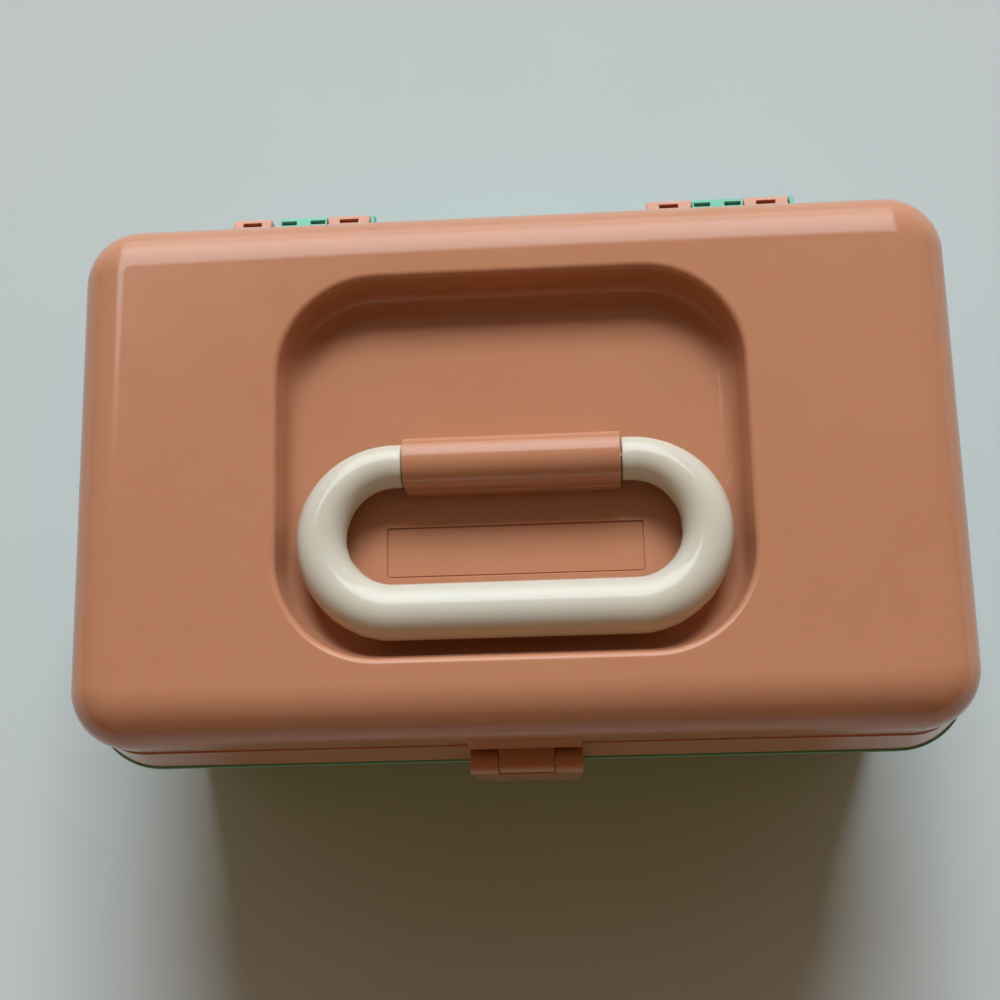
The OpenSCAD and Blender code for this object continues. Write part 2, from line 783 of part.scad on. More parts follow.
// A pair of ribs that holds one end of a divider, standing out from a wall's face at y
module divider_ribs(x, y) {
    for (s = [-1, 1])
        translate([x + s * (divider_t + rib_w + 2 * seat_gap) / 2 - rib_w / 2, y - rib_h,
            tray_z + tray_floor / 2])
            cube([rib_w, 2 * rib_h, divider_h + tray_floor / 2]);
}

module tray() {
    color(CREAM) difference() {
        union() {
            difference() {
                translate([0, tray_mid, 0])
                    round_plate(tray_hw, tray_hd, tray_corner, tray_z, tray_h);
                translate([0, tray_mid, 0])
                    round_plate(tray_hw - tray_wall, tray_hd - tray_wall,
                        tray_corner - tray_wall, tray_z + tray_floor, tray_h);
            }
            translate([-tray_hw + tray_wall / 2, row_y, tray_z + tray_floor / 2])
                cube([2 * tray_hw - tray_wall, tray_wall, row_h]);
            for (x = [-1:1]) {
                divider_ribs(x * divider_pitch, divider_y0);
                divider_ribs(x * divider_pitch, divider_y1);
            }
        }
        both_sides() for (p = [front_pivot, rear_pivot])
            x_bar(p, rivet_d / 2, tray_hw - tray_wall - 1, tray_hw + 1);
    }
}

module tray_divider(x) {
    color(CREAM) translate([x - divider_t / 2, divider_y0 + seat_gap, tray_z + tray_floor])
        cube([divider_t, divider_y1 - divider_y0 - 2 * seat_gap, divider_h]);
}
module tray_divider_left() tray_divider(-divider_pitch);
module tray_divider_middle() tray_divider(0);
module tray_divider_right() tray_divider(divider_pitch);

// A shouldered rivet through the tray's wall and an arm or hanger, at the point p
module tray_rivet(p) {
    inner = tray_hw - tray_wall;
    outer = arm_x + arm_t + head_gap;
    x_bar(p, rivet_head, inner - head_t, inner);
    x_bar(p, rivet_d / 2, inner, outer);
    x_bar(p, collar_r, tray_hw, arm_x - head_gap);
    x_bar(p, collar_r, outer, outer + head_t);
}
module front_tray_rivets() color(STEEL) both_sides() tray_rivet(front_pivot);
module rear_tray_rivets() color(STEEL) both_sides() tray_rivet(rear_pivot);

module swing_arm() {
    color(STEEL) difference() {
        strap(front_pivot, base_pivot);
        for (p = [front_pivot, base_pivot])
            x_bar(p, rivet_d / 2 + pin_fit, arm_x - 1, arm_x + arm_t + 1);
    }
}
module swing_arm_right() swing_arm();
module swing_arm_left() mirror([1, 0, 0]) swing_arm();

base_tub();
base_pivot_studs();
hinge_pin_left();
hinge_pin_right();
lid_shell();
tray_hanger_left();
tray_hanger_right();
hanger_rivets();
mirror_frame();
mirror_glass();
mirror_pad();
mirror_screws();
latch_pin();
carry_handle();
handle_rod();
latch();
tray();
tray_divider_left();
tray_divider_middle();
tray_divider_right();
front_tray_rivets();
rear_tray_rivets();
swing_arm_left();
swing_arm_right();
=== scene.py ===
# A make-up storage case seen from above: mint tub, peach lid, cream carry handle.
# A piece's sizes are millimetres until its mesh is written in metres. The camera, the lamps and
# the materials are in metres.
from math import acos, atan2, ceil, cos, degrees, pi, radians, sin, tan

import bmesh
import bpy
from mathutils import Matrix, Vector


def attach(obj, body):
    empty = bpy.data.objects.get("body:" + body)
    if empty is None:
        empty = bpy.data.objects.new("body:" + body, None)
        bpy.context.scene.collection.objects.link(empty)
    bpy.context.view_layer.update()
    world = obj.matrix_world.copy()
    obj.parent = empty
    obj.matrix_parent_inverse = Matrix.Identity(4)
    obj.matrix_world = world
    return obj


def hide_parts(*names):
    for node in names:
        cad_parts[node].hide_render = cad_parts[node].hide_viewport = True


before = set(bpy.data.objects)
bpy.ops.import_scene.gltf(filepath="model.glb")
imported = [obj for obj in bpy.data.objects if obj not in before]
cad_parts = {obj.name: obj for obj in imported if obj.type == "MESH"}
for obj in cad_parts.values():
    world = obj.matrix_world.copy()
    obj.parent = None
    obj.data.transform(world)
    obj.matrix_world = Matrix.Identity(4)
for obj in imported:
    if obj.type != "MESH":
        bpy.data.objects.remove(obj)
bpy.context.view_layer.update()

# ---- Camera ----
# Held over the lid's front edge, a little to the right of its middle, and looking down with a
# tilt of twelve degrees towards the back, so that the whole case is in its view.
lens = bpy.data.cameras.new("view_from_above")
lens.lens = 50.4
lens.sensor_width = 36
lens.clip_start, lens.clip_end = 0.02, 20
camera = bpy.data.objects.new("view_from_above", lens)
camera.location = (0.01855, -0.09491, 0.51985)
camera.rotation_euler = (radians(11.885), radians(3.487), radians(-1.294))
bpy.context.collection.objects.link(camera)
bpy.context.scene.camera = camera

# ---- Tub ----
# The lower half: one injection moulding in mint polypropylene, with drafted walls, a rounded
# foot, a rim flange and a locating lip. Every other piece is carried by it.
MM = 0.001
CASE_W, CASE_D, CASE_CORNER = 262.0, 159.4, 18.0
CASE = (CASE_W / 2, CASE_D / 2, CASE_CORNER, 0.0)
BASE_H, TUB_FLOOR, WALL_T = 84.0, 2.6, 2.5
FLANGE_T, FLANGE_OUT = 2.5, 4.5
LIP_H, LIP_T = 4.0, 2.2
WALL_IN, FOOT_IN, FOOT_R = 1.5, 6.65, 6.0
FLAT_IN = 34.0  # the inset of the ring that one flat face closes
CORNER_STEPS, BEND_STEP = 14, 6  # steps in a corner of a plan, and degrees in a step of a bend
PLAN_GUARD, BEND_GUARD = 1.2, 0.4  # flat strips beside a corner and a bend, for true shading


def turned_path(points):
    """Points (inset, height, radius) to a line whose corners are turned on their radius."""
    line = [points[0][:2]]
    for before, here, after in zip(points, points[1:], points[2:]):
        corner, radius = Vector(here[:2]), here[2]
        if radius == 0:
            line.append(tuple(corner))
            continue
        away = [(Vector(p[:2]) - corner) for p in (before, after)]
        units = [v.normalized() for v in away]
        opening = acos(max(-1.0, min(1.0, units[0].dot(units[1]))))
        reach = radius / tan(opening / 2)
        centre = corner + (units[0] + units[1]).normalized() * (radius / sin(opening / 2))
        start, end = corner + units[0] * reach, corner + units[1] * reach
        steps = max(2, ceil(degrees(pi - opening) / BEND_STEP))
        guard = min(BEND_GUARD, (away[0].length - reach) / 3, (away[1].length - reach) / 3)
        guarded = guard > 0.05
        if guarded:
            line.append(tuple(start + units[0] * guard))
        first = atan2(*(start - centre).yx)
        sweep = (atan2(*(end - centre).yx) - first + pi) % (2 * pi) - pi
        for i in range(steps + 1):
            a = first + sweep * i / steps
            line.append((centre.x + radius * cos(a), centre.y + radius * sin(a)))
        if guarded:
            line.append(tuple(end + units[1] * guard))
    line.append(points[-1][:2])
    return line


def plan_ring(plan, inset, height):
    """One closed outline of a rounded rectangle (half width, half depth, corner, middle y)."""
    w, d, r = plan[0] - inset, plan[1] - inset, max(plan[2] - inset, 0.05)
    guard = min(PLAN_GUARD, (w - r) / 4, (d - r) / 4)
    ring = []
    for quarter, (sx, sy) in enumerate([(1, 1), (-1, 1), (-1, -1), (1, -1)]):
        cx, cy = sx * (w - r), sy * (d - r) + plan[3]
        angles = [quarter * pi / 2 + pi / 2 * i / CORNER_STEPS for i in range(CORNER_STEPS + 1)]
        arc = [(cx + r * cos(a), cy + r * sin(a)) for a in angles]
        first, last = angles[0], angles[-1]
        ring.append((arc[0][0] + guard * sin(first), arc[0][1] - guard * cos(first), height))
        ring += [(x, y, height) for x, y in arc]
        ring.append((arc[-1][0] - guard * sin(last), arc[-1][1] + guard * cos(last), height))
    return ring


def new_piece(name, mesh, material, body, *stands_for, slot):
    """A finished mesh as a piece that rides on its body and stands for CAD nodes."""
    piece = bpy.data.objects.new(name, mesh)
    bpy.context.collection.objects.link(piece)
    mesh.materials.clear()
    mesh.materials.append(material)
    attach(piece, body)
    if stands_for:
        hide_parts(*stands_for)
    return piece


def written(name, verts, faces):
    """A mesh in metres from millimetre points, smooth, with its faces turned outwards."""
    mesh = bpy.data.meshes.new(name)
    mesh.from_pydata([[c * MM for c in v] for v in verts], [], faces)
    work = bmesh.new()
    work.from_mesh(mesh)
    bmesh.ops.remove_doubles(work, verts=work.verts, dist=1e-7)
    bmesh.ops.recalc_face_normals(work, faces=work.faces)
    for face in work.faces:
        face.smooth = True
    work.to_mesh(mesh)
    work.free()
    return mesh


def lofted(name, rings):
    """A skin through rings of equal count, closed by a flat face at each end."""
    count = len(rings[0])
    verts = [p for ring in rings for p in ring]
    faces = []
    for a in range(0, len(verts) - count, count):
        b = a + count
        faces += [(a + k, a + (k + 1) % count, b + (k + 1) % count, b + k) for k in range(count)]
    faces.append(tuple(range(count)))
    faces.append(tuple(range(len(verts) - count, len(verts))))
    return written(name, verts, faces)


def rings_along(plan, points):
    """The outlines of a rounded rectangle at each point of a turned path."""
    return [plan_ring(plan, inset, z) for inset, z in turned_path(points)]


def extruded(name, section, x0, x1):
    """A solid with one section in Y and Z, from x0 to x1."""
    return lofted(name, [[(x, y, z) for y, z in section] for x in (x0, x1)])


def bar_section(y, z, r, steps=48):
    """A round section in Y and Z."""
    angles = [2 * pi * i / steps for i in range(steps)]
    return [(y + r * cos(a), z + r * sin(a)) for a in angles]


def box_mesh(name, x0, x1, y0, y1, z0, z1):
    """A plain block between two corners."""
    return extruded(name, [(y0, z0), (y1, z0), (y1, z1), (y0, z1)], x0, x1)


def settled(mesh, *modifiers):
    """The mesh with modifiers (kind, settings) worked in, as a plain mesh."""
    holder = bpy.data.objects.new(mesh.name, mesh)
    bpy.context.collection.objects.link(holder)
    for kind, settings in modifiers:
        modifier = holder.modifiers.new(kind.lower(), kind)
        for key, value in settings.items():
            setattr(modifier, key, value)
    graph = bpy.context.evaluated_depsgraph_get()
    result = bpy.data.meshes.new_from_object(holder.evaluated_get(graph))
    result.name = mesh.name
    bpy.data.objects.remove(holder)
    return result


def cut(mesh, tools, operation="DIFFERENCE"):
    """The mesh after each tool mesh is taken from it, or what it has in common with them."""
    holders = []
    for tool in tools:
        holder = bpy.data.objects.new(tool.name, tool)
        bpy.context.collection.objects.link(holder)
        holders.append(holder)
    steps = [("BOOLEAN", {"object": h, "operation": operation, "solver": "EXACT"}) for h in holders]
    result = settled(mesh, *steps)
    for holder in holders:
        bpy.data.objects.remove(holder)
    return result


def eased(mesh, width, segments=3):
    """The mesh with its sharp edges rounded, as a mould leaves them."""
    bevel = {
        "width": width * MM, "segments": segments, "limit_method": "ANGLE",
        "angle_limit": radians(33), "use_clamp_overlap": True,
    }
    weigh = {"mode": "FACE_AREA", "weight": 80, "keep_sharp": True}
    return settled(mesh, ("BEVEL", bevel), ("WEIGHTED_NORMAL", weigh))


def joined(name, meshes):
    """Several meshes as one."""
    work = bmesh.new()
    for mesh in meshes:
        work.from_mesh(mesh)
    whole = bpy.data.meshes.new(name)
    work.to_mesh(whole)
    work.free()
    return whole


def put(tree, kind, inputs=(), **settings):
    """A node in a tree, with its settings, and its inputs set or linked."""
    node = tree.nodes.new(kind)
    for key, value in settings.items():
        setattr(node, key, value)
    for key, value in dict(inputs).items():
        if isinstance(value, bpy.types.NodeSocket):
            tree.links.new(value, node.inputs[key])
        else:
            node.inputs[key].default_value = value
    return node


def noise(tree, at, scale, detail=2.0, rough=0.5):
    """A cloudy value between 0 and 1."""
    return put(tree, "ShaderNodeTexNoise", {
        "Vector": at, "Scale": scale, "Detail": detail, "Roughness": rough}).outputs["Fac"]


def ramped(tree, value, low, high, out_low=0.0, out_high=1.0):
    """A value's range from low to high, clamped and stretched to another."""
    return put(tree, "ShaderNodeMapRange", {
        "Value": value, "From Min": low, "From Max": high, "To Min": out_low,
        "To Max": out_high}).outputs["Result"]


def blended(tree, factor, first, second):
    """The first colour where the factor is 0, and the second where it is 1."""
    # 0, 6 and 7 are a colour Mix node's factor and its two colours, and output 2 is the result
    node = put(tree, "ShaderNodeMix", {0: factor, 6: first, 7: second}, data_type="RGBA")
    return node.outputs[2]


def maths(tree, operation, a, b):
    """Two values put together by one operation."""
    return put(tree, "ShaderNodeMath", {0: a, 1: b}, operation=operation).outputs[0]


def hairlines(tree, at, turn, sparse):
    """Fine straight scuffs in one direction, as a mask."""
    stretched = put(tree, "ShaderNodeMapping", {
        "Vector": at, "Rotation": (0.0, 0.0, radians(turn)), "Scale": (26.0, 1900.0, 420.0)})
    lines = noise(tree, stretched.outputs["Vector"], 1.0, 1.0, 0.4)
    patches = ramped(tree, noise(tree, at, 17.0 + turn * 0.1, 1.0), 0.5, 0.72)
    return maths(tree, "MULTIPLY", ramped(tree, lines, sparse, sparse + 0.03), patches)


def bare_material(name):
    """A new material with its empty tree, and a piece's own coordinates in that tree."""
    material = bpy.data.materials.new(name)
    material.use_nodes = True
    tree = material.node_tree
    tree.nodes.clear()
    return material, tree, put(tree, "ShaderNodeTexCoord").outputs["Object"]


def moulded(name, colour, deep, pale, gloss, worn, scuffs=1.0):
    """A coloured thermoplastic: pigment drift, orange peel, fine grain, scuffs and rubbed edges."""
    material, tree, at = bare_material(name)
    drift = ramped(tree, noise(tree, at, 8.0, 2.0), 0.3, 0.7)
    cloud = noise(tree, at, 55.0, 4.0, 0.6)
    grain = noise(tree, at, 1700.0, 2.0)
    scuff = maths(tree, "MAXIMUM", hairlines(tree, at, 24.0, 0.69), hairlines(tree, at, -58.0, 0.7))
    rounded = put(tree, "ShaderNodeBevel", {"Radius": 0.0006}, samples=3).outputs["Normal"]
    flat = put(tree, "ShaderNodeNewGeometry").outputs["Normal"]
    facing = put(tree, "ShaderNodeVectorMath", {0: rounded, 1: flat}, operation="DOT_PRODUCT")
    edge = maths(tree, "MULTIPLY", ramped(tree, facing.outputs["Value"], 0.99, 0.9),
                 ramped(tree, cloud, 0.42, 0.62))
    tone = blended(tree, drift, (*colour, 1.0), (*deep, 1.0))
    tone = blended(tree, ramped(tree, cloud, 0.35, 0.7, 0.0, 0.22), tone, (*pale, 1.0))
    tone = blended(tree, ramped(tree, grain, 0.3, 0.75, 0.0, 0.10), tone, (*deep, 1.0))
    tone = blended(tree, maths(tree, "MULTIPLY", scuff, 0.05 * scuffs), tone, worn)
    tone = blended(tree, maths(tree, "MULTIPLY", edge, 0.14), tone, worn)
    sheen = maths(tree, "ADD", ramped(tree, cloud, 0.3, 0.7, gloss - 0.02, gloss + 0.03),
                  maths(tree, "MULTIPLY", maths(tree, "MAXIMUM", scuff, edge), 0.05))
    peel = maths(tree, "MULTIPLY", noise(tree, at, 240.0, 1.0), 0.5)
    height = maths(tree, "SUBTRACT", maths(tree, "ADD", peel, maths(tree, "MULTIPLY", grain, 0.1)),
                   maths(tree, "MULTIPLY", scuff, 0.08 * scuffs))
    bump = put(tree, "ShaderNodeBump", {"Strength": 0.18, "Distance": 0.0002, "Height": height})
    shader = put(tree, "ShaderNodeBsdfPrincipled", {
        "Base Color": tone, "Roughness": sheen, "IOR": 1.49, "Normal": bump.outputs["Normal"],
        "Subsurface Weight": 0.25, "Subsurface Scale": 0.004,
        "Subsurface Radius": (1.0, 0.35, 0.12)})
    put(tree, "ShaderNodeOutputMaterial", {"Surface": shader.outputs[0]})
    return material


mint_plastic = moulded("mint_polypropylene", (0.135, 0.445, 0.33), (0.105, 0.385, 0.285),
                       (0.18, 0.50, 0.385), 0.34, (0.45, 0.7, 0.62, 1.0))

flange_z, lip_z = BASE_H - FLANGE_T, BASE_H + LIP_H
tub_skin = rings_along(CASE, [
    (FLAT_IN, 0, 0), (FOOT_IN, 0, FOOT_R), (WALL_IN, flange_z, 0.4), (-FLANGE_OUT, flange_z, 0.5),
    (-FLANGE_OUT, BASE_H, 0.5), (0, BASE_H, 0.25), (0, lip_z, 0.6), (LIP_T, lip_z, 0.4),
    (LIP_T, BASE_H, 0.2), (WALL_IN + WALL_T, BASE_H, 0.4), (FOOT_IN + WALL_T, TUB_FLOOR, 4.75),
    (FLAT_IN, TUB_FLOOR, 0)])
new_piece("tub_moulding", lofted("tub_moulding", tub_skin), mint_plastic, "tub", "base_tub",
          slot="mint_plastic")

# The rear wall's knuckles and end ears, each on a root that runs down the wall; a knuckle has two
# narrow slots beside a ribbed middle. In front is the catch, and at the sides the studs' bosses.
AXIS_Y, AXIS_Z, PIN_R = 89.0, 85.0, 1.25
SIDE_GAP, PIN_FIT = 0.4, 0.05
KNUCKLE_Y, KNUCKLE_Z, CROWN_Z = 94.4, 89.0, 90.6
ROOT_Y, ROOT_LOW, ROOT_TOP = 76.2, 69.5, 82.8
SLOT_Y0, SLOT_Y1, SLOT_LOW, SLOT_TOP, SLOT_WALL = 91.8, 93.2, 73.0, 92.0, 0.6
WEBS, WEB_PITCH, WEB_T, WEB_LOW, WEB_TOP, WEB_BLOCK_W = 5, 0.95, 0.44, 80.9, 88.6, 4.7
PAST_EAR = 19.0  # from the end of a tub knuckle to beyond the ear
# A hinge's left end, then the widths of: lid knuckle, gap, tub knuckle, gap, lid knuckle, gap, ear
HINGES = [(-92.1, (12.7, 2.9, 15.7, SIDE_GAP, 13.8, SIDE_GAP, 1.2)),
          (44.5, (14.5, SIDE_GAP, 16.3, SIDE_GAP, 14.3, SIDE_GAP, 1.2))]
LEFT_LID, TUB_MIDDLE, RIGHT_LID, EAR = 0, 2, 4, 6  # their places among those widths


def along(hinge, part):
    """Where one part of a hinge starts and ends along X."""
    start = hinge[0] + sum(hinge[1][:part])
    return start, start + hinge[1][part]


def top_slot(x0, x1, low=SLOT_LOW):
    """The cutter of a slot in a knuckle's top."""
    return box_mesh("slot", x0, x1, SLOT_Y0, SLOT_Y1, low, SLOT_TOP)


def pin_hole(y, z, pin_r, x0, x1):
    """The cutter of a pin's hole, with its running fit, from before x0 to past x1."""
    return extruded("hole", bar_section(y, z, pin_r + PIN_FIT), x0 - 1, x1 + 1)


crown = [(KNUCKLE_Y, KNUCKLE_Z), (89.6, CROWN_Z)]
tub_root = ([(ROOT_Y, ROOT_LOW), (ROOT_Y + 1.2, ROOT_LOW), (KNUCKLE_Y, 81)] + crown
            + [(85.4, CROWN_Z), (84.6, ROOT_TOP), (ROOT_Y, ROOT_TOP)])
tub_details = []
for hinge in HINGES:
    x0, x1 = along(hinge, TUB_MIDDLE)
    hole = pin_hole(AXIS_Y, AXIS_Z, PIN_R, x0, x1 + PAST_EAR)
    inner0, inner1 = x0 + SLOT_WALL, x1 - SLOT_WALL
    slot_w = (inner1 - inner0 - WEB_BLOCK_W) / 2
    knuckle = cut(extruded("knuckle", tub_root, x0, x1),
                  [top_slot(inner0, inner0 + slot_w), top_slot(inner1 - slot_w, inner1), hole])
    ear = cut(extruded("ear", tub_root, *along(hinge, EAR)), [hole])
    tub_details += [eased(knuckle, 0.25, 2), eased(ear, 0.25, 2)]
    for i in range(WEBS):
        x = (x0 + x1) / 2 + (i - (WEBS - 1) / 2) * WEB_PITCH
        web = box_mesh("web", x - WEB_T / 2, x + WEB_T / 2, KNUCKLE_Y - 0.3, KNUCKLE_Y, WEB_LOW,
                       WEB_TOP)
        tub_details.append(eased(web, 0.1, 2))

LATCH_X, CATCH_W, CATCH_Y = 1.2, 16.0, -84.2
catch = [(CATCH_Y, 78.2), (CATCH_Y + 1.6, 77.5), (-77, 77.5), (-77, ROOT_TOP), (CATCH_Y, ROOT_TOP)]
tub_details.append(eased(extruded("catch", catch, LATCH_X - CATCH_W / 2, LATCH_X + CATCH_W / 2),
                         0.3))
STUD_Y, STUD_Z, STUD_BOSS_R, STUD_BOSS_X = -1.0, 77.0, 4.8, (121.96, 126.3)
for side in (1, -1):
    boss = extruded("boss", bar_section(STUD_Y, STUD_Z, STUD_BOSS_R),
                    *sorted(side * x for x in STUD_BOSS_X))
    tub_details.append(eased(boss, 0.4))
new_piece("tub_hinge_and_catch", joined("tub_hinge_and_catch", tub_details), mint_plastic, "tub",
          slot="mint_plastic")

# ---- Hinge pins and the arms' studs ----
# Two lengths of drawn steel wire pushed through the knuckles, and two headed steel studs
# pressed into the tub's side bosses.


def zinced(name, colour, rough, brush):
    """Zinc-plated steel: a drawn or rolled grain along one way, with dull spots."""
    material, tree, at = bare_material(name)
    grained = put(tree, "ShaderNodeMapping", {"Vector": at, "Scale": brush}).outputs["Vector"]
    lines = noise(tree, grained, 1.0, 3.0, 0.6)
    spots = ramped(tree, noise(tree, at, 160.0, 4.0, 0.6), 0.5, 0.75)
    tone = blended(tree, lines, (*(c * 0.82 for c in colour), 1.0), (*colour, 1.0))
    tone = blended(tree, maths(tree, "MULTIPLY", spots, 0.5), tone,
                   (colour[0] * 0.72, colour[1] * 0.72, colour[2] * 0.68, 1.0))
    dull = maths(tree, "ADD", ramped(tree, lines, 0.3, 0.7, rough - 0.06, rough + 0.08),
                 maths(tree, "MULTIPLY", spots, 0.15))
    bump = put(tree, "ShaderNodeBump", {"Strength": 0.25, "Distance": 0.00005, "Height": lines})
    shader = put(tree, "ShaderNodeBsdfPrincipled", {
        "Base Color": tone, "Metallic": 1.0, "Roughness": dull,
        "Normal": bump.outputs["Normal"]})
    put(tree, "ShaderNodeOutputMaterial", {"Surface": shader.outputs[0]})
    return material


steel_wire = zinced("zinced_wire", (0.60, 0.61, 0.63), 0.3, (60.0, 2600.0, 2600.0))
steel_strip = zinced("zinced_strip", (0.57, 0.58, 0.60), 0.36, (500.0, 120.0, 2400.0))


def lathed(name, profile, at_y, at_z, sides=40):
    """A turned solid about a line along X, from points (x, radius) whose ends lie on the line."""
    verts = [(profile[0][0], at_y, at_z)]
    inner = profile[1:-1]
    for x, r in inner:
        verts += [(x, at_y + r * cos(2 * pi * k / sides), at_z + r * sin(2 * pi * k / sides))
                  for k in range(sides)]
    verts.append((profile[-1][0], at_y, at_z))
    faces = [(0, 1 + k, 1 + (k + 1) % sides) for k in range(sides)]
    for i in range(len(inner) - 1):
        a = 1 + i * sides
        faces += [(a + k, a + (k + 1) % sides, a + sides + (k + 1) % sides, a + sides + k)
                  for k in range(sides)]
    a, last = 1 + (len(inner) - 1) * sides, len(verts) - 1
    faces += [(a + k, a + (k + 1) % sides, last) for k in range(sides)]
    return written(name, verts, faces)


def wire(name, x0, x1, y, z, r):
    """A cut length of wire with its ends broken."""
    line = [(x0, 0), (x0, r - 0.25), (x0 + 0.1, r - 0.08), (x0 + 0.3, r),
            (x1 - 0.3, r), (x1 - 0.1, r - 0.08), (x1, r - 0.25), (x1, 0)]
    return lathed(name, line, y, z)


PIN_INSET = 0.3
for side, hinge in zip(("left", "right"), HINGES):
    pin = wire("hinge_wire_" + side, hinge[0] + PIN_INSET, along(hinge, EAR)[1], AXIS_Y, AXIS_Z,
               PIN_R)
    new_piece(pin.name, pin, steel_wire, "tub", "hinge_pin_" + side, slot="steel")


def planted(name, unit, spots, material):
    """Copies of a unit mesh set by a node tree on spots (x, y, z, turn about Z), as one mesh."""
    source = bpy.data.objects.new(unit.name, unit)
    bpy.context.collection.objects.link(source)
    points = bpy.data.meshes.new(name)
    points.from_pydata([[c * MM for c in spot[:3]] for spot in spots], [], [])
    turn = points.attributes.new("turn", "FLOAT", "POINT")
    turn.data.foreach_set("value", [radians(spot[3]) for spot in spots])
    tree = bpy.data.node_groups.new(name, "GeometryNodeTree")
    sockets = tree.interface
    sockets.new_socket("Spots", in_out="INPUT", socket_type="NodeSocketGeometry")
    unit_in = sockets.new_socket("Unit", in_out="INPUT", socket_type="NodeSocketObject")
    size_in = sockets.new_socket("Size", in_out="INPUT", socket_type="NodeSocketFloat")
    finish_in = sockets.new_socket("Material", in_out="INPUT", socket_type="NodeSocketMaterial")
    sockets.new_socket("Geometry", in_out="OUTPUT", socket_type="NodeSocketGeometry")
    given = put(tree, "NodeGroupInput")
    fetched = put(tree, "GeometryNodeObjectInfo", {"Object": given.outputs["Unit"]})
    turned = put(tree, "GeometryNodeInputNamedAttribute", {"Name": "turn"}, data_type="FLOAT")
    about = put(tree, "ShaderNodeCombineXYZ", {"Z": turned.outputs["Attribute"]})
    planting = put(tree, "GeometryNodeInstanceOnPoints", {
        "Points": given.outputs["Spots"], "Instance": fetched.outputs["Geometry"],
        "Rotation": about.outputs[0], "Scale": given.outputs["Size"]})
    real = put(tree, "GeometryNodeRealizeInstances", {"Geometry": planting.outputs[0]})
    painted = put(tree, "GeometryNodeSetMaterial", {
        "Geometry": real.outputs[0], "Material": given.outputs["Material"]})
    put(tree, "NodeGroupOutput", {"Geometry": painted.outputs[0]})
    holder = bpy.data.objects.new(name, points)
    bpy.context.collection.objects.link(holder)
    step = holder.modifiers.new("planting", "NODES")
    step.node_group = tree
    step[unit_in.identifier] = source
    step[size_in.identifier] = 1.0
    step[finish_in.identifier] = material
    graph = bpy.context.evaluated_depsgraph_get()
    mesh = bpy.data.meshes.new_from_object(holder.evaluated_get(graph))
    mesh.name = name
    bpy.data.objects.remove(holder)
    bpy.data.objects.remove(source)
    return mesh


ARM_X, STUD_R, STUD_END = 120.36, 2.0, 125.4
HEAD_T, HEAD_GAP = 1.1, 0.1
stud_inner = ARM_X - HEAD_GAP - HEAD_T
stud_line = [(stud_inner, 0), (stud_inner + 0.02, 1.4), (stud_inner + 0.25, 2.6),
             (stud_inner + 0.6, 3.1), (stud_inner + HEAD_T, 3.2), (ARM_X - HEAD_GAP, STUD_R),
             (STUD_END - 0.2, STUD_R), (STUD_END, STUD_R - 0.2), (STUD_END, 0)]
stud_spots = [(0, STUD_Y, STUD_Z, turn) for turn in (0, 180)]
tub_studs = planted("tub_studs", lathed("stud", stud_line, 0, 0), stud_spots, steel_wire)
new_piece("tub_studs", tub_studs, steel_wire, "tub", "base_pivot_studs", slot="steel")

# ---- Lid ----
# The upper half: one peach polypropylene moulding with a flared skirt, a shadow groove above it,
# a deep top fillet, and the handle's recess with a bare label panel in its floor. The knuckles,
# the rod's housing and the latch's mount are moulded with it.
peach_plastic = moulded("peach_polypropylene", (0.50, 0.232, 0.135), (0.47, 0.212, 0.12),
                        (0.53, 0.255, 0.152), 0.14, (0.72, 0.5, 0.38, 1.0))
TOP_Z, FLOOR_Z, LID_T = 130.4, 116.1, 2.4
SKIRT_Z, SHOULDER_Z, GROOVE_IN = 84.2, 100.98, 0.8
TOP_FILLET, RIM_FILLET, WELL_FILLET = 15.7, 2.0, 7.0
RECESS = (70.1, 58.1, 31.0, 0.0)
RIM_OUT = 1.2  # where the top's flat ring round the recess starts
LABEL = (37.8, 7.5, 0.7, -24.1)
LABEL_Z, SCORE_Z = 115.6, 115.3  # the label's sunk panel, and the scored line round it

under_top, under_floor = TOP_Z - LID_T, FLOOR_Z - LID_T
lid_skin = (
    rings_along(RECESS, [(16, under_floor, 0), (1.73, under_floor, WELL_FILLET + LID_T),
                         (0.01, under_top, 0.6), (-RIM_OUT, under_top, 0)])
    + rings_along(CASE, [(17.6, under_top, 0), (2.84, under_top, TOP_FILLET - LID_T),
                         (2.8, SHOULDER_Z, 0.5), (-1.4, SKIRT_Z, 0.3), (-3.8, SKIRT_Z, 0.5),
                         (-0.5, SHOULDER_Z, 0.3), (GROOVE_IN, 101.22, 0.1),
                         (GROOVE_IN, 101.9, 0.1), (0, 102.1, 0.35), (0.988, TOP_Z, TOP_FILLET),
                         (17.4, TOP_Z, 0)])
    + rings_along(RECESS, [(-RIM_OUT, TOP_Z, 0), (1.62, TOP_Z, RIM_FILLET),
                           (4.32, FLOOR_Z, WELL_FILLET), (13, FLOOR_Z, 0)])
    + rings_along(LABEL, [(-0.7, FLOOR_Z, 0), (0, FLOOR_Z, 0.06), (0.12, SCORE_Z, 0.03),
                          (0.36, SCORE_Z, 0.03), (0.46, LABEL_Z, 0.05), (1.6, LABEL_Z, 0)])
)
NOTCH_R = 7.12  # the room that the tub's knuckles and ears have in the skirt
notches = []
for hinge in HINGES:
    for part in (TUB_MIDDLE, EAR):
        x0, x1 = along(hinge, part)
        notches.append(extruded("notch", bar_section(AXIS_Y, AXIS_Z, NOTCH_R, 64),
                                x0 - SIDE_GAP / 2, x1 + SIDE_GAP / 2))
lid_mesh = cut(lofted("lid_moulding", lid_skin), notches)
lid_mesh.set_sharp_from_angle(angle=radians(52))
new_piece("lid_moulding", lid_mesh, peach_plastic, "lid", "lid_shell", slot="peach_plastic")

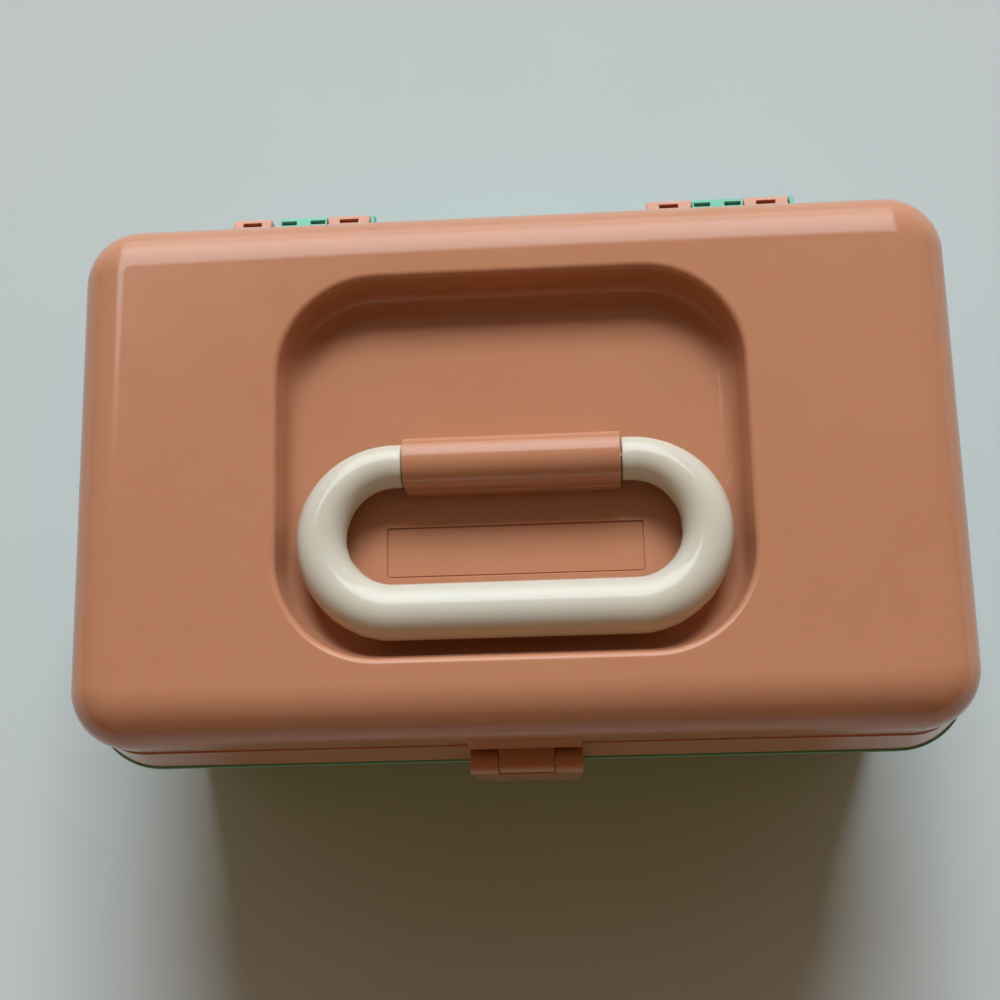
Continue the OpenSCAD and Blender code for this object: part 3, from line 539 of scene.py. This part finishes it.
# The lid's knuckles: a barrel about the wire under a block with a sloped top and a blind slot
BARREL_R, LID_KNUCKLE_Y, LID_SLOT_W, LID_SLOT_Z = 3.6, 81.7, 6.1, 84.9
barrel_angles = [radians(193.0 + 154.0 * i / 18) for i in range(19)]
lid_knuckle = ([(LID_KNUCKLE_Y, SKIRT_Z)]
               + [(AXIS_Y + BARREL_R * cos(a), AXIS_Z + BARREL_R * sin(a)) for a in barrel_angles]
               + [(KNUCKLE_Y, SKIRT_Z)] + crown + [(LID_KNUCKLE_Y, CROWN_Z)])
lid_details = []
for hinge in HINGES:
    for part in (LEFT_LID, RIGHT_LID):
        x0, x1 = along(hinge, part)
        middle = (x0 + x1) / 2
        slot = top_slot(middle - LID_SLOT_W / 2, middle + LID_SLOT_W / 2, LID_SLOT_Z)
        knuckle = cut(extruded("knuckle", lid_knuckle, x0, x1),
                      [slot, pin_hole(AXIS_Y, AXIS_Z, PIN_R, x0, x1)])
        lid_details.append(eased(knuckle, 0.25, 2))

# The half-round housing of the handle's rod on its stepped foot, which stands in the floor
ROD_Z, ROD_R = 124.3, 2.0
HOUSING_X, HOUSING_Y, HOUSING_R = 31.4, 0.6, 7.5
FOOT_STEP, FOOT_TOP, FOOT_LOW = 0.4, 120.6, 115.4
housing_angles = [pi * i / 40 for i in range(41)]
rear_y, front_y = HOUSING_Y + HOUSING_R, HOUSING_Y - HOUSING_R
housing_side = ([(rear_y + FOOT_STEP, FOOT_LOW), (rear_y + FOOT_STEP, FOOT_TOP), (rear_y, FOOT_TOP)]
                + [(HOUSING_Y + HOUSING_R * cos(a), ROD_Z + HOUSING_R * sin(a))
                   for a in housing_angles]
                + [(front_y, FOOT_TOP), (front_y - FOOT_STEP, FOOT_TOP),
                   (front_y - FOOT_STEP, FOOT_LOW)])
housing = cut(extruded("housing", housing_side, -HOUSING_X, HOUSING_X),
              [pin_hole(0, ROD_Z, ROD_R, -HOUSING_X, HOUSING_X)])
lid_details.append(eased(housing, 0.3, 3))

# The boss above the latch: a wedge whose front outline has round corners
LATCH_W, LATCH_Y, LATCH_Z = 33.0, -84.6, 100.0
BOSS_Z, BOSS_H, BOSS_CORNER = 111.2, 23.0, 4.0
boss_side = [(-78.5, 104.8), (-81.3, 104.8), (-81.3, 106), (-77.13, 122.6), (-75.6, 122.6)]
boss = extruded("boss", boss_side, LATCH_X - LATCH_W / 2, LATCH_X + LATCH_W / 2)
boss_front = plan_ring((LATCH_W / 2, BOSS_H / 2, BOSS_CORNER, 0), 0, 0)
corner_cutter = lofted("corner_cutter", [[(x + LATCH_X, y, z + BOSS_Z) for x, z, _ in boss_front]
                                         for y in (-90, -70)])
lid_details.append(eased(cut(boss, [corner_cutter], "INTERSECT"), 0.5, 3))

# The latch's lug under the boss, and the pads inside the lid that the hangers are riveted to
LUG_R, LUG_W, LUG_ROOT_Y = 3.55, 16.4, -78.4
lug_x0, lug_x1 = LATCH_X - LUG_W / 2, LATCH_X + LUG_W / 2
lug_angles = [radians(90 + 227.5 * i / 30) for i in range(31)]
lug_side = ([(LATCH_Y + LUG_R * cos(a), LATCH_Z + LUG_R * sin(a)) for a in lug_angles]
            + [(LUG_ROOT_Y, 97.6), (LUG_ROOT_Y, LATCH_Z + LUG_R)])
lug = cut(extruded("lug", lug_side, lug_x0, lug_x1),
          [pin_hole(LATCH_Y, LATCH_Z, PIN_R, lug_x0, lug_x1)])
lid_details.append(eased(lug, 0.15, 2))
HANGER_Y, HANGER_RIVETS_Z, PAD_X, PAD_W = 39.0, (105.1, 110.1), (121.86, 129.6), 12.0
for side in (1, -1):
    pad = box_mesh("pad", *sorted(side * x for x in PAD_X), HANGER_Y - PAD_W / 2,
                   HANGER_Y + PAD_W / 2, HANGER_RIVETS_Z[0] - 3, HANGER_RIVETS_Z[1] + 4)
    lid_details.append(eased(pad, 0.5))
new_piece("lid_details", joined("lid_details", lid_details), peach_plastic, "lid",
          slot="peach_plastic")

# ---- Latch ----
# A peach hook plate on a steel wire in the lid's lug: a curved barrel, a face that leans out
# to its tip, two cheeks, and a ridge behind the face that snaps past the tub's catch.


def softened_copy(node, name, width, segments=3, tools=()):
    """A merged copy of a CAD node's mesh, cut by tools, with its edges eased."""
    work = bmesh.new()
    work.from_mesh(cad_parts[node].data)
    bmesh.ops.remove_doubles(work, verts=work.verts, dist=2e-6)
    bmesh.ops.dissolve_limit(work, angle_limit=radians(0.6), verts=work.verts, edges=work.edges)
    for face in work.faces:
        face.smooth = True
    mesh = bpy.data.meshes.new(name)
    work.to_mesh(mesh)
    work.free()
    return eased(cut(mesh, tools) if tools else mesh, width, segments)


LUG_GAP, LUG_SIDE_GAP = 0.15, 0.2
room_x0, room_x1 = lug_x0 - LUG_SIDE_GAP, lug_x1 + LUG_SIDE_GAP
lug_room = [
    extruded("room", bar_section(LATCH_Y, LATCH_Z, LUG_R + LUG_GAP), room_x0, room_x1),
    box_mesh("room", room_x0, room_x1, -92, -80, 98.8, 106)]
new_piece("latch_plate", softened_copy("latch", "latch_plate", 0.4, 3, lug_room),
          peach_plastic, "latch", "latch", slot="peach_plastic")
wire_reach = LATCH_W / 2 - SIDE_GAP
latch_wire = wire("latch_wire", LATCH_X - wire_reach, LATCH_X + wire_reach, LATCH_Y, LATCH_Z,
                  PIN_R)
new_piece("latch_wire", latch_wire, steel_wire, "lid", "latch_pin", slot="steel")

# ---- Carry handle ----
# A ring of cream plastic, thicker at its grip than at its ends, moulded in two halves whose
# flash line runs round its middle, and turning on a steel rod in the lid's housing.
HANDLE_W, BEND_R, BEND_STEPS = 126.0, 21.4, 48
END_D, BEND_D, GRIP_D = 12.6, 14.6, 16.0
END_X = HOUSING_X + SIDE_GAP
BEND_X = HANDLE_W / 2 - BEND_D / 2 - BEND_R
RING_SIDES, FLASH_H = 120, 0.14
ROD_IN = 9.0  # how far the rod reaches into each end


def cream_plastic(name, colour, deep, gloss):
    """Glossy cream plastic, a little yellowed, with handling marks and fine scuffs."""
    pale = (colour[0] * 1.05, colour[1] * 1.05, colour[2] * 1.06)
    return moulded(name, colour, deep, pale, gloss, (0.52, 0.45, 0.33, 1.0), 1.4)


handle_cream = cream_plastic("cream_grip_plastic", (0.60, 0.594, 0.52), (0.59, 0.552, 0.455), 0.12)

# The right half's route and diameter, from the rounded end over the bend to the grip
half = [(END_X, 0.0, END_D - 0.7), (END_X + 0.15, 0.0, END_D - 0.25), (END_X + 0.4, 0.0, END_D)]
for i in range(BEND_STEPS + 1):
    a = 180.0 * i / BEND_STEPS
    low, high, turned = (END_D, BEND_D, a) if a < 90 else (BEND_D, GRIP_D, a - 90)
    half.append((BEND_X + BEND_R * sin(radians(a)), BEND_R * (cos(radians(a)) - 1),
                 low + (high - low) * (1 - cos(radians(2 * turned))) / 2))
whole = half + [(-x, y, d) for x, y, d in reversed(half)]
route = bpy.data.curves.new("handle_route", "CURVE")
route.dimensions = "3D"
spline = route.splines.new("POLY")
spline.points.add(len(whole) - 1)
for point, (x, y, d) in zip(spline.points, whole):
    point.co = (x * MM, y * MM, ROD_Z * MM, 1)
    point.radius = d / 2 * MM
handle_maker = bpy.data.objects.new("handle_route", route)
bpy.context.collection.objects.link(handle_maker)

# A tube along the route, as thick as each point's radius, with a faint ragged flash line where
# the two halves meet, which is where the tube's skin faces sideways.
tube = bpy.data.node_groups.new("handle_tube", "GeometryNodeTree")
tube.interface.new_socket("Route", in_out="INPUT", socket_type="NodeSocketGeometry")
sides_in = tube.interface.new_socket("Sides", in_out="INPUT", socket_type="NodeSocketInt")
flash_in = tube.interface.new_socket("Flash height", in_out="INPUT", socket_type="NodeSocketFloat")
finish_in = tube.interface.new_socket("Material", in_out="INPUT", socket_type="NodeSocketMaterial")
tube.interface.new_socket("Geometry", in_out="OUTPUT", socket_type="NodeSocketGeometry")
given = put(tube, "NodeGroupInput")
upright = put(tube, "GeometryNodeSetCurveNormal", {"Curve": given.outputs["Route"]}, mode="Z_UP")
section = put(tube, "GeometryNodeCurvePrimitiveCircle", {
    "Resolution": given.outputs["Sides"], "Radius": 1.0}, mode="RADIUS")
swept = put(tube, "GeometryNodeCurveToMesh", {
    "Curve": upright.outputs[0], "Profile Curve": section.outputs[0], "Fill Caps": True,
    "Scale": put(tube, "GeometryNodeInputRadius").outputs[0]})
way = put(tube, "GeometryNodeInputNormal").outputs[0]
steep = maths(tube, "ABSOLUTE", put(tube, "ShaderNodeSeparateXYZ", {"Vector": way}).outputs["Z"], 0)
where = put(tube, "GeometryNodeInputPosition").outputs[0]
ragged = ramped(tube, noise(tube, where, 420.0), 0.42, 0.7, 0.0, 1.6)
rise = maths(tube, "MULTIPLY", ramped(tube, steep, 0.045, 0.0), ragged)
height = maths(tube, "MULTIPLY", rise, given.outputs["Flash height"])
push = put(tube, "ShaderNodeVectorMath", {0: way, "Scale": height}, operation="SCALE")
ridged = put(tube, "GeometryNodeSetPosition", {
    "Geometry": swept.outputs[0], "Offset": push.outputs["Vector"]})
shaded = put(tube, "GeometryNodeSetShadeSmooth", {"Geometry": ridged.outputs[0]})
real = put(tube, "GeometryNodeRealizeInstances", {"Geometry": shaded.outputs[0]})
painted = put(tube, "GeometryNodeSetMaterial", {
    "Geometry": real.outputs[0], "Material": given.outputs["Material"]})
put(tube, "NodeGroupOutput", {"Geometry": painted.outputs[0]})
sweeping = handle_maker.modifiers.new("tube", "NODES")
sweeping.node_group = tube
sweeping[sides_in.identifier] = RING_SIDES
sweeping[flash_in.identifier] = FLASH_H * MM
sweeping[finish_in.identifier] = handle_cream
graph = bpy.context.evaluated_depsgraph_get()
handle_mesh = bpy.data.meshes.new_from_object(handle_maker.evaluated_get(graph))
bpy.data.objects.remove(handle_maker)
handle_mesh.name = "handle_ring"
handle_mesh.set_sharp_from_angle(angle=radians(60))
new_piece("handle_ring", handle_mesh, handle_cream, "handle", "carry_handle", slot="cream_plastic")
rod = wire("handle_steel_rod", -END_X - ROD_IN, END_X + ROD_IN, 0, ROD_Z, ROD_R)
new_piece("handle_steel_rod", rod, steel_wire, "handle", "handle_rod", slot="steel")

# ---- Mirror ----
# A pane of clear glass, silvered on its back, on a thin foam pad in a peach frame, which four
# pan-head screws hold to bosses under the recess's floor.
new_piece("mirror_surround", softened_copy("mirror_frame", "mirror_surround", 0.5),
          peach_plastic, "lid", "mirror_frame", slot="peach_plastic")

# Glass with wiped smears and a little dust
clear_glass, tree, at = bare_material("clear_glass")
wiped = put(tree, "ShaderNodeMapping", {
    "Vector": at, "Rotation": (0, 0, 0.5), "Scale": (1.0, 3.2, 1.0)}).outputs["Vector"]
smears = noise(tree, wiped, 28.0, 4.0, 0.62)
dust = ramped(tree, noise(tree, at, 900.0, 2.0, 0.5), 0.7, 0.74, 0.0, 0.25)
glass = put(tree, "ShaderNodeBsdfPrincipled", {
    "Base Color": (0.965, 0.985, 0.975, 1.0), "IOR": 1.5, "Transmission Weight": 1.0,
    "Roughness": maths(tree, "ADD", ramped(tree, smears, 0.56, 0.8, 0.0, 0.07), dust)})
put(tree, "ShaderNodeOutputMaterial", {"Surface": glass.outputs[0]})

# The silver coat, faintly clouded
silvering, tree, at = bare_material("silvering")
clouds = noise(tree, at, 22.0, 3.0, 0.55)
coat = put(tree, "ShaderNodeBsdfPrincipled", {
    "Base Color": blended(tree, clouds, (0.90, 0.91, 0.905, 1.0), (0.84, 0.855, 0.85, 1.0)),
    "Metallic": 1.0, "Roughness": ramped(tree, clouds, 0.3, 0.8, 0.0, 0.03)})
put(tree, "ShaderNodeOutputMaterial", {"Surface": coat.outputs[0]})
mirror_glass = new_piece("mirror_pane", softened_copy("mirror_glass", "mirror_pane", 0.4),
                         clear_glass, "lid", "mirror_glass", slot="mirror").data
mirror_glass.materials.append(silvering)
back_z = max(point.co.z for point in mirror_glass.vertices)
for face in mirror_glass.polygons:
    face.material_index = int(face.center.z > back_z - 0.01 * MM)

# Closed-cell foam: pale clouds, with painted shade that darkens the pits between the cells
foam, tree, at = bare_material("closed_cell_foam")
cells = put(tree, "ShaderNodeTexVoronoi", {"Vector": at, "Scale": 1400.0}).outputs["Distance"]
patches = noise(tree, at, 60.0, 3.0, 0.6)
tone = blended(tree, patches, (0.52, 0.52, 0.5, 1.0), (0.63, 0.62, 0.59, 1.0))
# Painted shade: the pits that the bump below sinks are coloured darker
tone = blended(tree, ramped(tree, cells, 0.1, 0.6), (0.4, 0.4, 0.385, 1.0), tone)
pits = put(tree, "ShaderNodeBump", {"Strength": 0.5, "Distance": 0.0002, "Height": cells})
sponge = put(tree, "ShaderNodeBsdfPrincipled", {
    "Base Color": tone, "Roughness": ramped(tree, patches, 0.3, 0.7, 0.8, 0.95),
    "Normal": pits.outputs["Normal"]})
put(tree, "ShaderNodeOutputMaterial", {"Surface": sponge.outputs[0]})
pad = new_piece("mirror_foam_pad", softened_copy("mirror_pad", "mirror_foam_pad", 0.35, 4), foam,
                "lid", "mirror_pad", slot="foam")

# A pan-head screw, head down: a domed head with a cross recess, and its shank in a hollow boss.
# Both are turned about X, and then stood upright.
SCREW_X, SCREW_Y, SCREW_LOW, SCREW_HEAD, SCREW_TOP = 52.25, 29.0, 108.2, 109.3, 113.8
SHANK_R, BOSS_R, BOSS_LOW, CROSS_W, CROSS_T = 1.0, 2.6, 110.75, 2.5, 0.44


def stood_up(mesh):
    """A mesh that was turned about X, now about Z, with its edges crisp."""
    mesh.transform(Matrix(((0, 0, -1), (0, 1, 0), (1, 0, 0))).to_4x4())
    mesh.set_sharp_from_angle(angle=radians(35))
    return mesh


def cross_arm(wide, high):
    """The cutter of one arm of the cross recess."""
    return box_mesh("arm", SCREW_LOW - 0.3, SCREW_LOW + 0.55, -wide / 2, wide / 2, -high / 2,
                    high / 2)


pan = [(SCREW_LOW, 0), (SCREW_LOW, 0.9), (SCREW_LOW + 0.08, 1.45), (SCREW_LOW + 0.3, 1.85),
       (SCREW_LOW + 0.6, 2.08), (SCREW_HEAD, 2.1), (SCREW_HEAD, SHANK_R), (SCREW_TOP, SHANK_R),
       (SCREW_TOP, 0)]
screw = cut(lathed("pan_head_screw", pan, 0, 0, 32),
            [cross_arm(CROSS_W, CROSS_T), cross_arm(CROSS_T, CROSS_W)])
screw_spots = [(SCREW_X, SCREW_Y, 0, 20), (-SCREW_X, SCREW_Y, 0, 65),
               (SCREW_X, -SCREW_Y, 0, 110), (-SCREW_X, -SCREW_Y, 0, 155)]
mirror_screws = planted("mirror_fixings", stood_up(screw), screw_spots, steel_wire)
new_piece("mirror_fixings", mirror_screws, steel_wire, "lid", "mirror_screws", slot="steel")
post = lathed("screw_boss", [(SCREW_TOP + 0.15, 0), (SCREW_TOP + 0.15, BOSS_R), (BOSS_LOW, BOSS_R),
                             (BOSS_LOW, SHANK_R + PIN_FIT), (SCREW_TOP + 0.05, SHANK_R + PIN_FIT),
                             (SCREW_TOP + 0.05, 0)], 0, 0, 32)
new_piece("screw_bosses", planted("screw_bosses", stood_up(post), screw_spots, peach_plastic),
          peach_plastic, "lid", slot="peach_plastic")

# ---- Tray linkage ----
# Pressed strips of zinc-plated steel: a hanger riveted to the lid on each side, and a swing
# arm from a stud on the tub, which carry the tray forward and up as the lid opens.
for side in ("left", "right"):
    new_piece("hanger_strip_" + side,
              softened_copy("tray_hanger_" + side, "hanger_strip_" + side, 0.25, 2),
              steel_strip, "lid", "tray_hanger_" + side, slot="steel")
    new_piece("arm_strip_" + side,
              softened_copy("swing_arm_" + side, "arm_strip_" + side, 0.25, 2),
              steel_strip, "arm_" + side, "swing_arm_" + side, slot="steel")
RIVET_R, RIVET_END = 1.5, 128.2
rivet_line = [(ARM_X - 0.8, 0), (ARM_X - 0.8, 1.5), (ARM_X - 0.55, 2.1), (ARM_X - 0.3, 2.4),
              (ARM_X, 2.5), (ARM_X, RIVET_R), (RIVET_END - 0.2, RIVET_R),
              (RIVET_END, RIVET_R - 0.2), (RIVET_END, 0)]
rivet_spots = [(0, HANGER_Y, z, turn) for z in HANGER_RIVETS_Z for turn in (0, 180)]
hanger_rivets = planted("hanger_fixings", lathed("rivet", rivet_line, 0, 0, 32), rivet_spots,
                        steel_wire)
new_piece("hanger_fixings", hanger_rivets, steel_wire, "lid", "hanger_rivets", slot="steel")

# ---- Tray ----
# A shallow tray in the handle's cream plastic: one long row in front for brushes, and a wider
# part behind it that three loose dividers split in four, each held between moulded ribs.
tray_cream = cream_plastic("cream_tray_plastic", (0.69, 0.635, 0.52), (0.66, 0.60, 0.47), 0.3)
TRAY = (118.762, 64.98, 8.0, -5.98)
TRAY_LOW, TRAY_TOP, TRAY_T, TRAY_FLAT_IN = 56.0, 82.0, 1.8, 20.0
ROW_Y, ROW_TOP, ROW_HALF, ROOTED = -41.0, 77.9, 117.86, 0.9
DIVIDERS, RIB_OFF, RIB_W, RIB_D, REAR_RIB_Y = (-59.38, 0.0, 59.38), 1.75, 1.5, 2.0, 57.2
tray_rings = rings_along(TRAY, [
    (TRAY_FLAT_IN, TRAY_LOW, 0), (0, TRAY_LOW, 1.2), (0, TRAY_TOP, 0.85), (TRAY_T, TRAY_TOP, 0.85),
    (TRAY_T, TRAY_LOW + TRAY_T, 2), (TRAY_FLAT_IN, TRAY_LOW + TRAY_T, 0)])
row_wall = eased(box_mesh("row_wall", -ROW_HALF, ROW_HALF, ROW_Y, ROW_Y + TRAY_T,
                          TRAY_LOW + ROOTED, ROW_TOP), 0.5, 3)
rib = eased(box_mesh("rib", -RIB_W / 2, RIB_W / 2, -RIB_D / 2, RIB_D / 2, TRAY_LOW + ROOTED,
                     ROW_TOP - 0.1), 0.3, 2)
rib_spots = [(x + off, y, 0, 0) for x in DIVIDERS for off in (-RIB_OFF, RIB_OFF)
             for y in (ROW_Y + TRAY_T, REAR_RIB_Y)]
tray_body = joined("tray_moulding", [lofted("tray_moulding", tray_rings), row_wall,
                                     planted("divider_ribs", rib, rib_spots, tray_cream)])
new_piece("tray_moulding", tray_body, tray_cream, "tray", "tray", slot="cream_plastic")
for place in ("left", "middle", "right"):
    new_piece("divider_" + place,
              softened_copy("tray_divider_" + place, "divider_" + place, 0.4, 3),
              tray_cream, "tray", "tray_divider_" + place, slot="cream_plastic")

# The rivets that the tray turns on: a domed head inside its wall, a collar outside the wall, the
# neck that the arm or the hanger runs on, and the spread head past it.
HEAD_X, COLLAR_X, NECK_X, SPREAD_X, TIP_X = 115.86, 118.76, 120.26, 121.96, 123.06
NECK_R, COLLAR_R = 2.0, 3.2
pivot_line = [(HEAD_X, 0), (HEAD_X, 1.6), (HEAD_X + 0.14, 2.7), (HEAD_X + 0.49, 3.4),
              (HEAD_X + HEAD_T, 3.6), (HEAD_X + HEAD_T, NECK_R), (COLLAR_X, NECK_R),
              (COLLAR_X, COLLAR_R), (NECK_X, COLLAR_R), (NECK_X, NECK_R), (SPREAD_X, NECK_R),
              (SPREAD_X, COLLAR_R), (SPREAD_X + 0.54, 3.1), (SPREAD_X + 0.89, 2.6), (TIP_X, 1.4),
              (TIP_X, 0)]
tray_rivet = lathed("tray_rivet", pivot_line, 0, 0, 36)
tray_rivet.set_sharp_from_angle(angle=radians(40))
for place, y, z in (("front", -51, 67), ("rear", HANGER_Y, 75)):
    name = place + "_pivots"
    new_piece(name, planted(name, tray_rivet, [(0, y, z, 0), (0, y, z, 180)], steel_wire),
              steel_wire, "tray", place + "_tray_rivets", slot="steel")

# ---- Floor and light ----
# A plain matt table top, a large soft window light from behind and a dim warm one from the front.
# The table is pale to the eye, and a little warmer in the light that it throws back.
TABLE_HALF = 4000
table_finish, tree, at = bare_material("pale_table_top")
tone = blended(tree, noise(tree, at, 14.0, 3.0, 0.5), (0.51, 0.57, 0.585, 1.0),
               (0.54, 0.60, 0.615, 1.0))
bounced = put(tree, "ShaderNodeLightPath").outputs["Is Diffuse Ray"]
tone = blended(tree, bounced, tone, (0.50, 0.50, 0.45, 1.0))
plain = put(tree, "ShaderNodeBsdfPrincipled", {
    "Base Color": tone, "Roughness": 0.9, "Specular IOR Level": 0.15})
put(tree, "ShaderNodeOutputMaterial", {"Surface": plain.outputs[0]})
table_corners = [(sx * TABLE_HALF, sy * TABLE_HALF, 0)
                 for sx, sy in ((-1, -1), (1, -1), (1, 1), (-1, 1))]
table_mesh = written("table_top", table_corners, [(0, 1, 2, 3)])
table_mesh.materials.append(table_finish)
table_top = bpy.data.objects.new("table_top", table_mesh)
bpy.context.collection.objects.link(table_top)


def softbox(name, colour, watts, wide, high, place, aim):
    """A rectangular area light at place, in metres, turned to aim."""
    lamp = bpy.data.lights.new(name, "AREA")
    lamp.shape = "RECTANGLE"
    lamp.size, lamp.size_y, lamp.energy, lamp.color = wide, high, watts, colour
    holder = bpy.data.objects.new(name, lamp)
    holder.location = place
    holder.rotation_euler = (Vector(aim) - Vector(place)).to_track_quat("-Z", "Y").to_euler()
    bpy.context.collection.objects.link(holder)
    return holder


# Glossy surfaces show the room's window, below, and not this lamp
window_light = softbox("window_light", (0.965, 1.02, 1.06), 1590.0, 6.5, 3.75,
                       (0.6, 8.75, 7.91), (0, 0, 0.06))
window_light.visible_glossy = False
softbox("front_fill", (1.0, 0.8, 0.58), 2.2, 2.4, 0.9, (-0.4, -2.7, 0.5), (0, 0, 0.05))

# A dim warm room that is brighter at the back. Only glossy rays see its window, which is cut out
# by direction: its two sides, its head, a sill that fades, and nothing in front. The camera, and
# what looks through glass, see a pale backdrop instead of the room.
room_world = bpy.data.worlds.new("room")
bpy.context.scene.world = room_world
room_world.use_nodes = True
tree = room_world.node_tree
tree.nodes.clear()
look = put(tree, "ShaderNodeTexCoord").outputs["Generated"]
across, back, up = put(tree, "ShaderNodeSeparateXYZ", {"Vector": look}).outputs
ray = put(tree, "ShaderNodeLightPath").outputs
front_walls = blended(tree, ramped(tree, back, -0.95, -0.25), (0.185, 0.115, 0.06, 1.0),
                      (0.165, 0.073, 0.015, 1.0))
walls = blended(tree, ramped(tree, back, -0.05, 0.95), front_walls, (0.52, 0.49, 0.45, 1.0))
aside = maths(tree, "ABSOLUTE", maths(tree, "ADD", across, 0.11), 0.0)
pane = ramped(tree, aside, 0.40, 0.37)
for edge in (ramped(tree, up, 0.88, 0.86), ramped(tree, up, 0.2, 0.42, 0.36, 1.0),
             ramped(tree, back, 0.25, 0.32), ray["Is Glossy Ray"]):
    pane = maths(tree, "MULTIPLY", pane, edge)
walls = blended(tree, pane, walls, (3.8, 4.3, 4.6, 1.0))
room = put(tree, "ShaderNodeBackground", {"Color": walls, "Strength": 1.0})
pale = put(tree, "ShaderNodeBackground", {"Color": (0.80, 0.83, 0.85, 1.0), "Strength": 1.0})
backdrop = maths(tree, "MAXIMUM", ray["Is Camera Ray"], ray["Is Transmission Ray"])
seen = put(tree, "ShaderNodeMixShader", {0: backdrop, 1: room.outputs[0], 2: pale.outputs[0]})
put(tree, "ShaderNodeOutputWorld", {"Surface": seen.outputs[0]})
bpy.context.scene.view_settings.view_transform = "Standard"
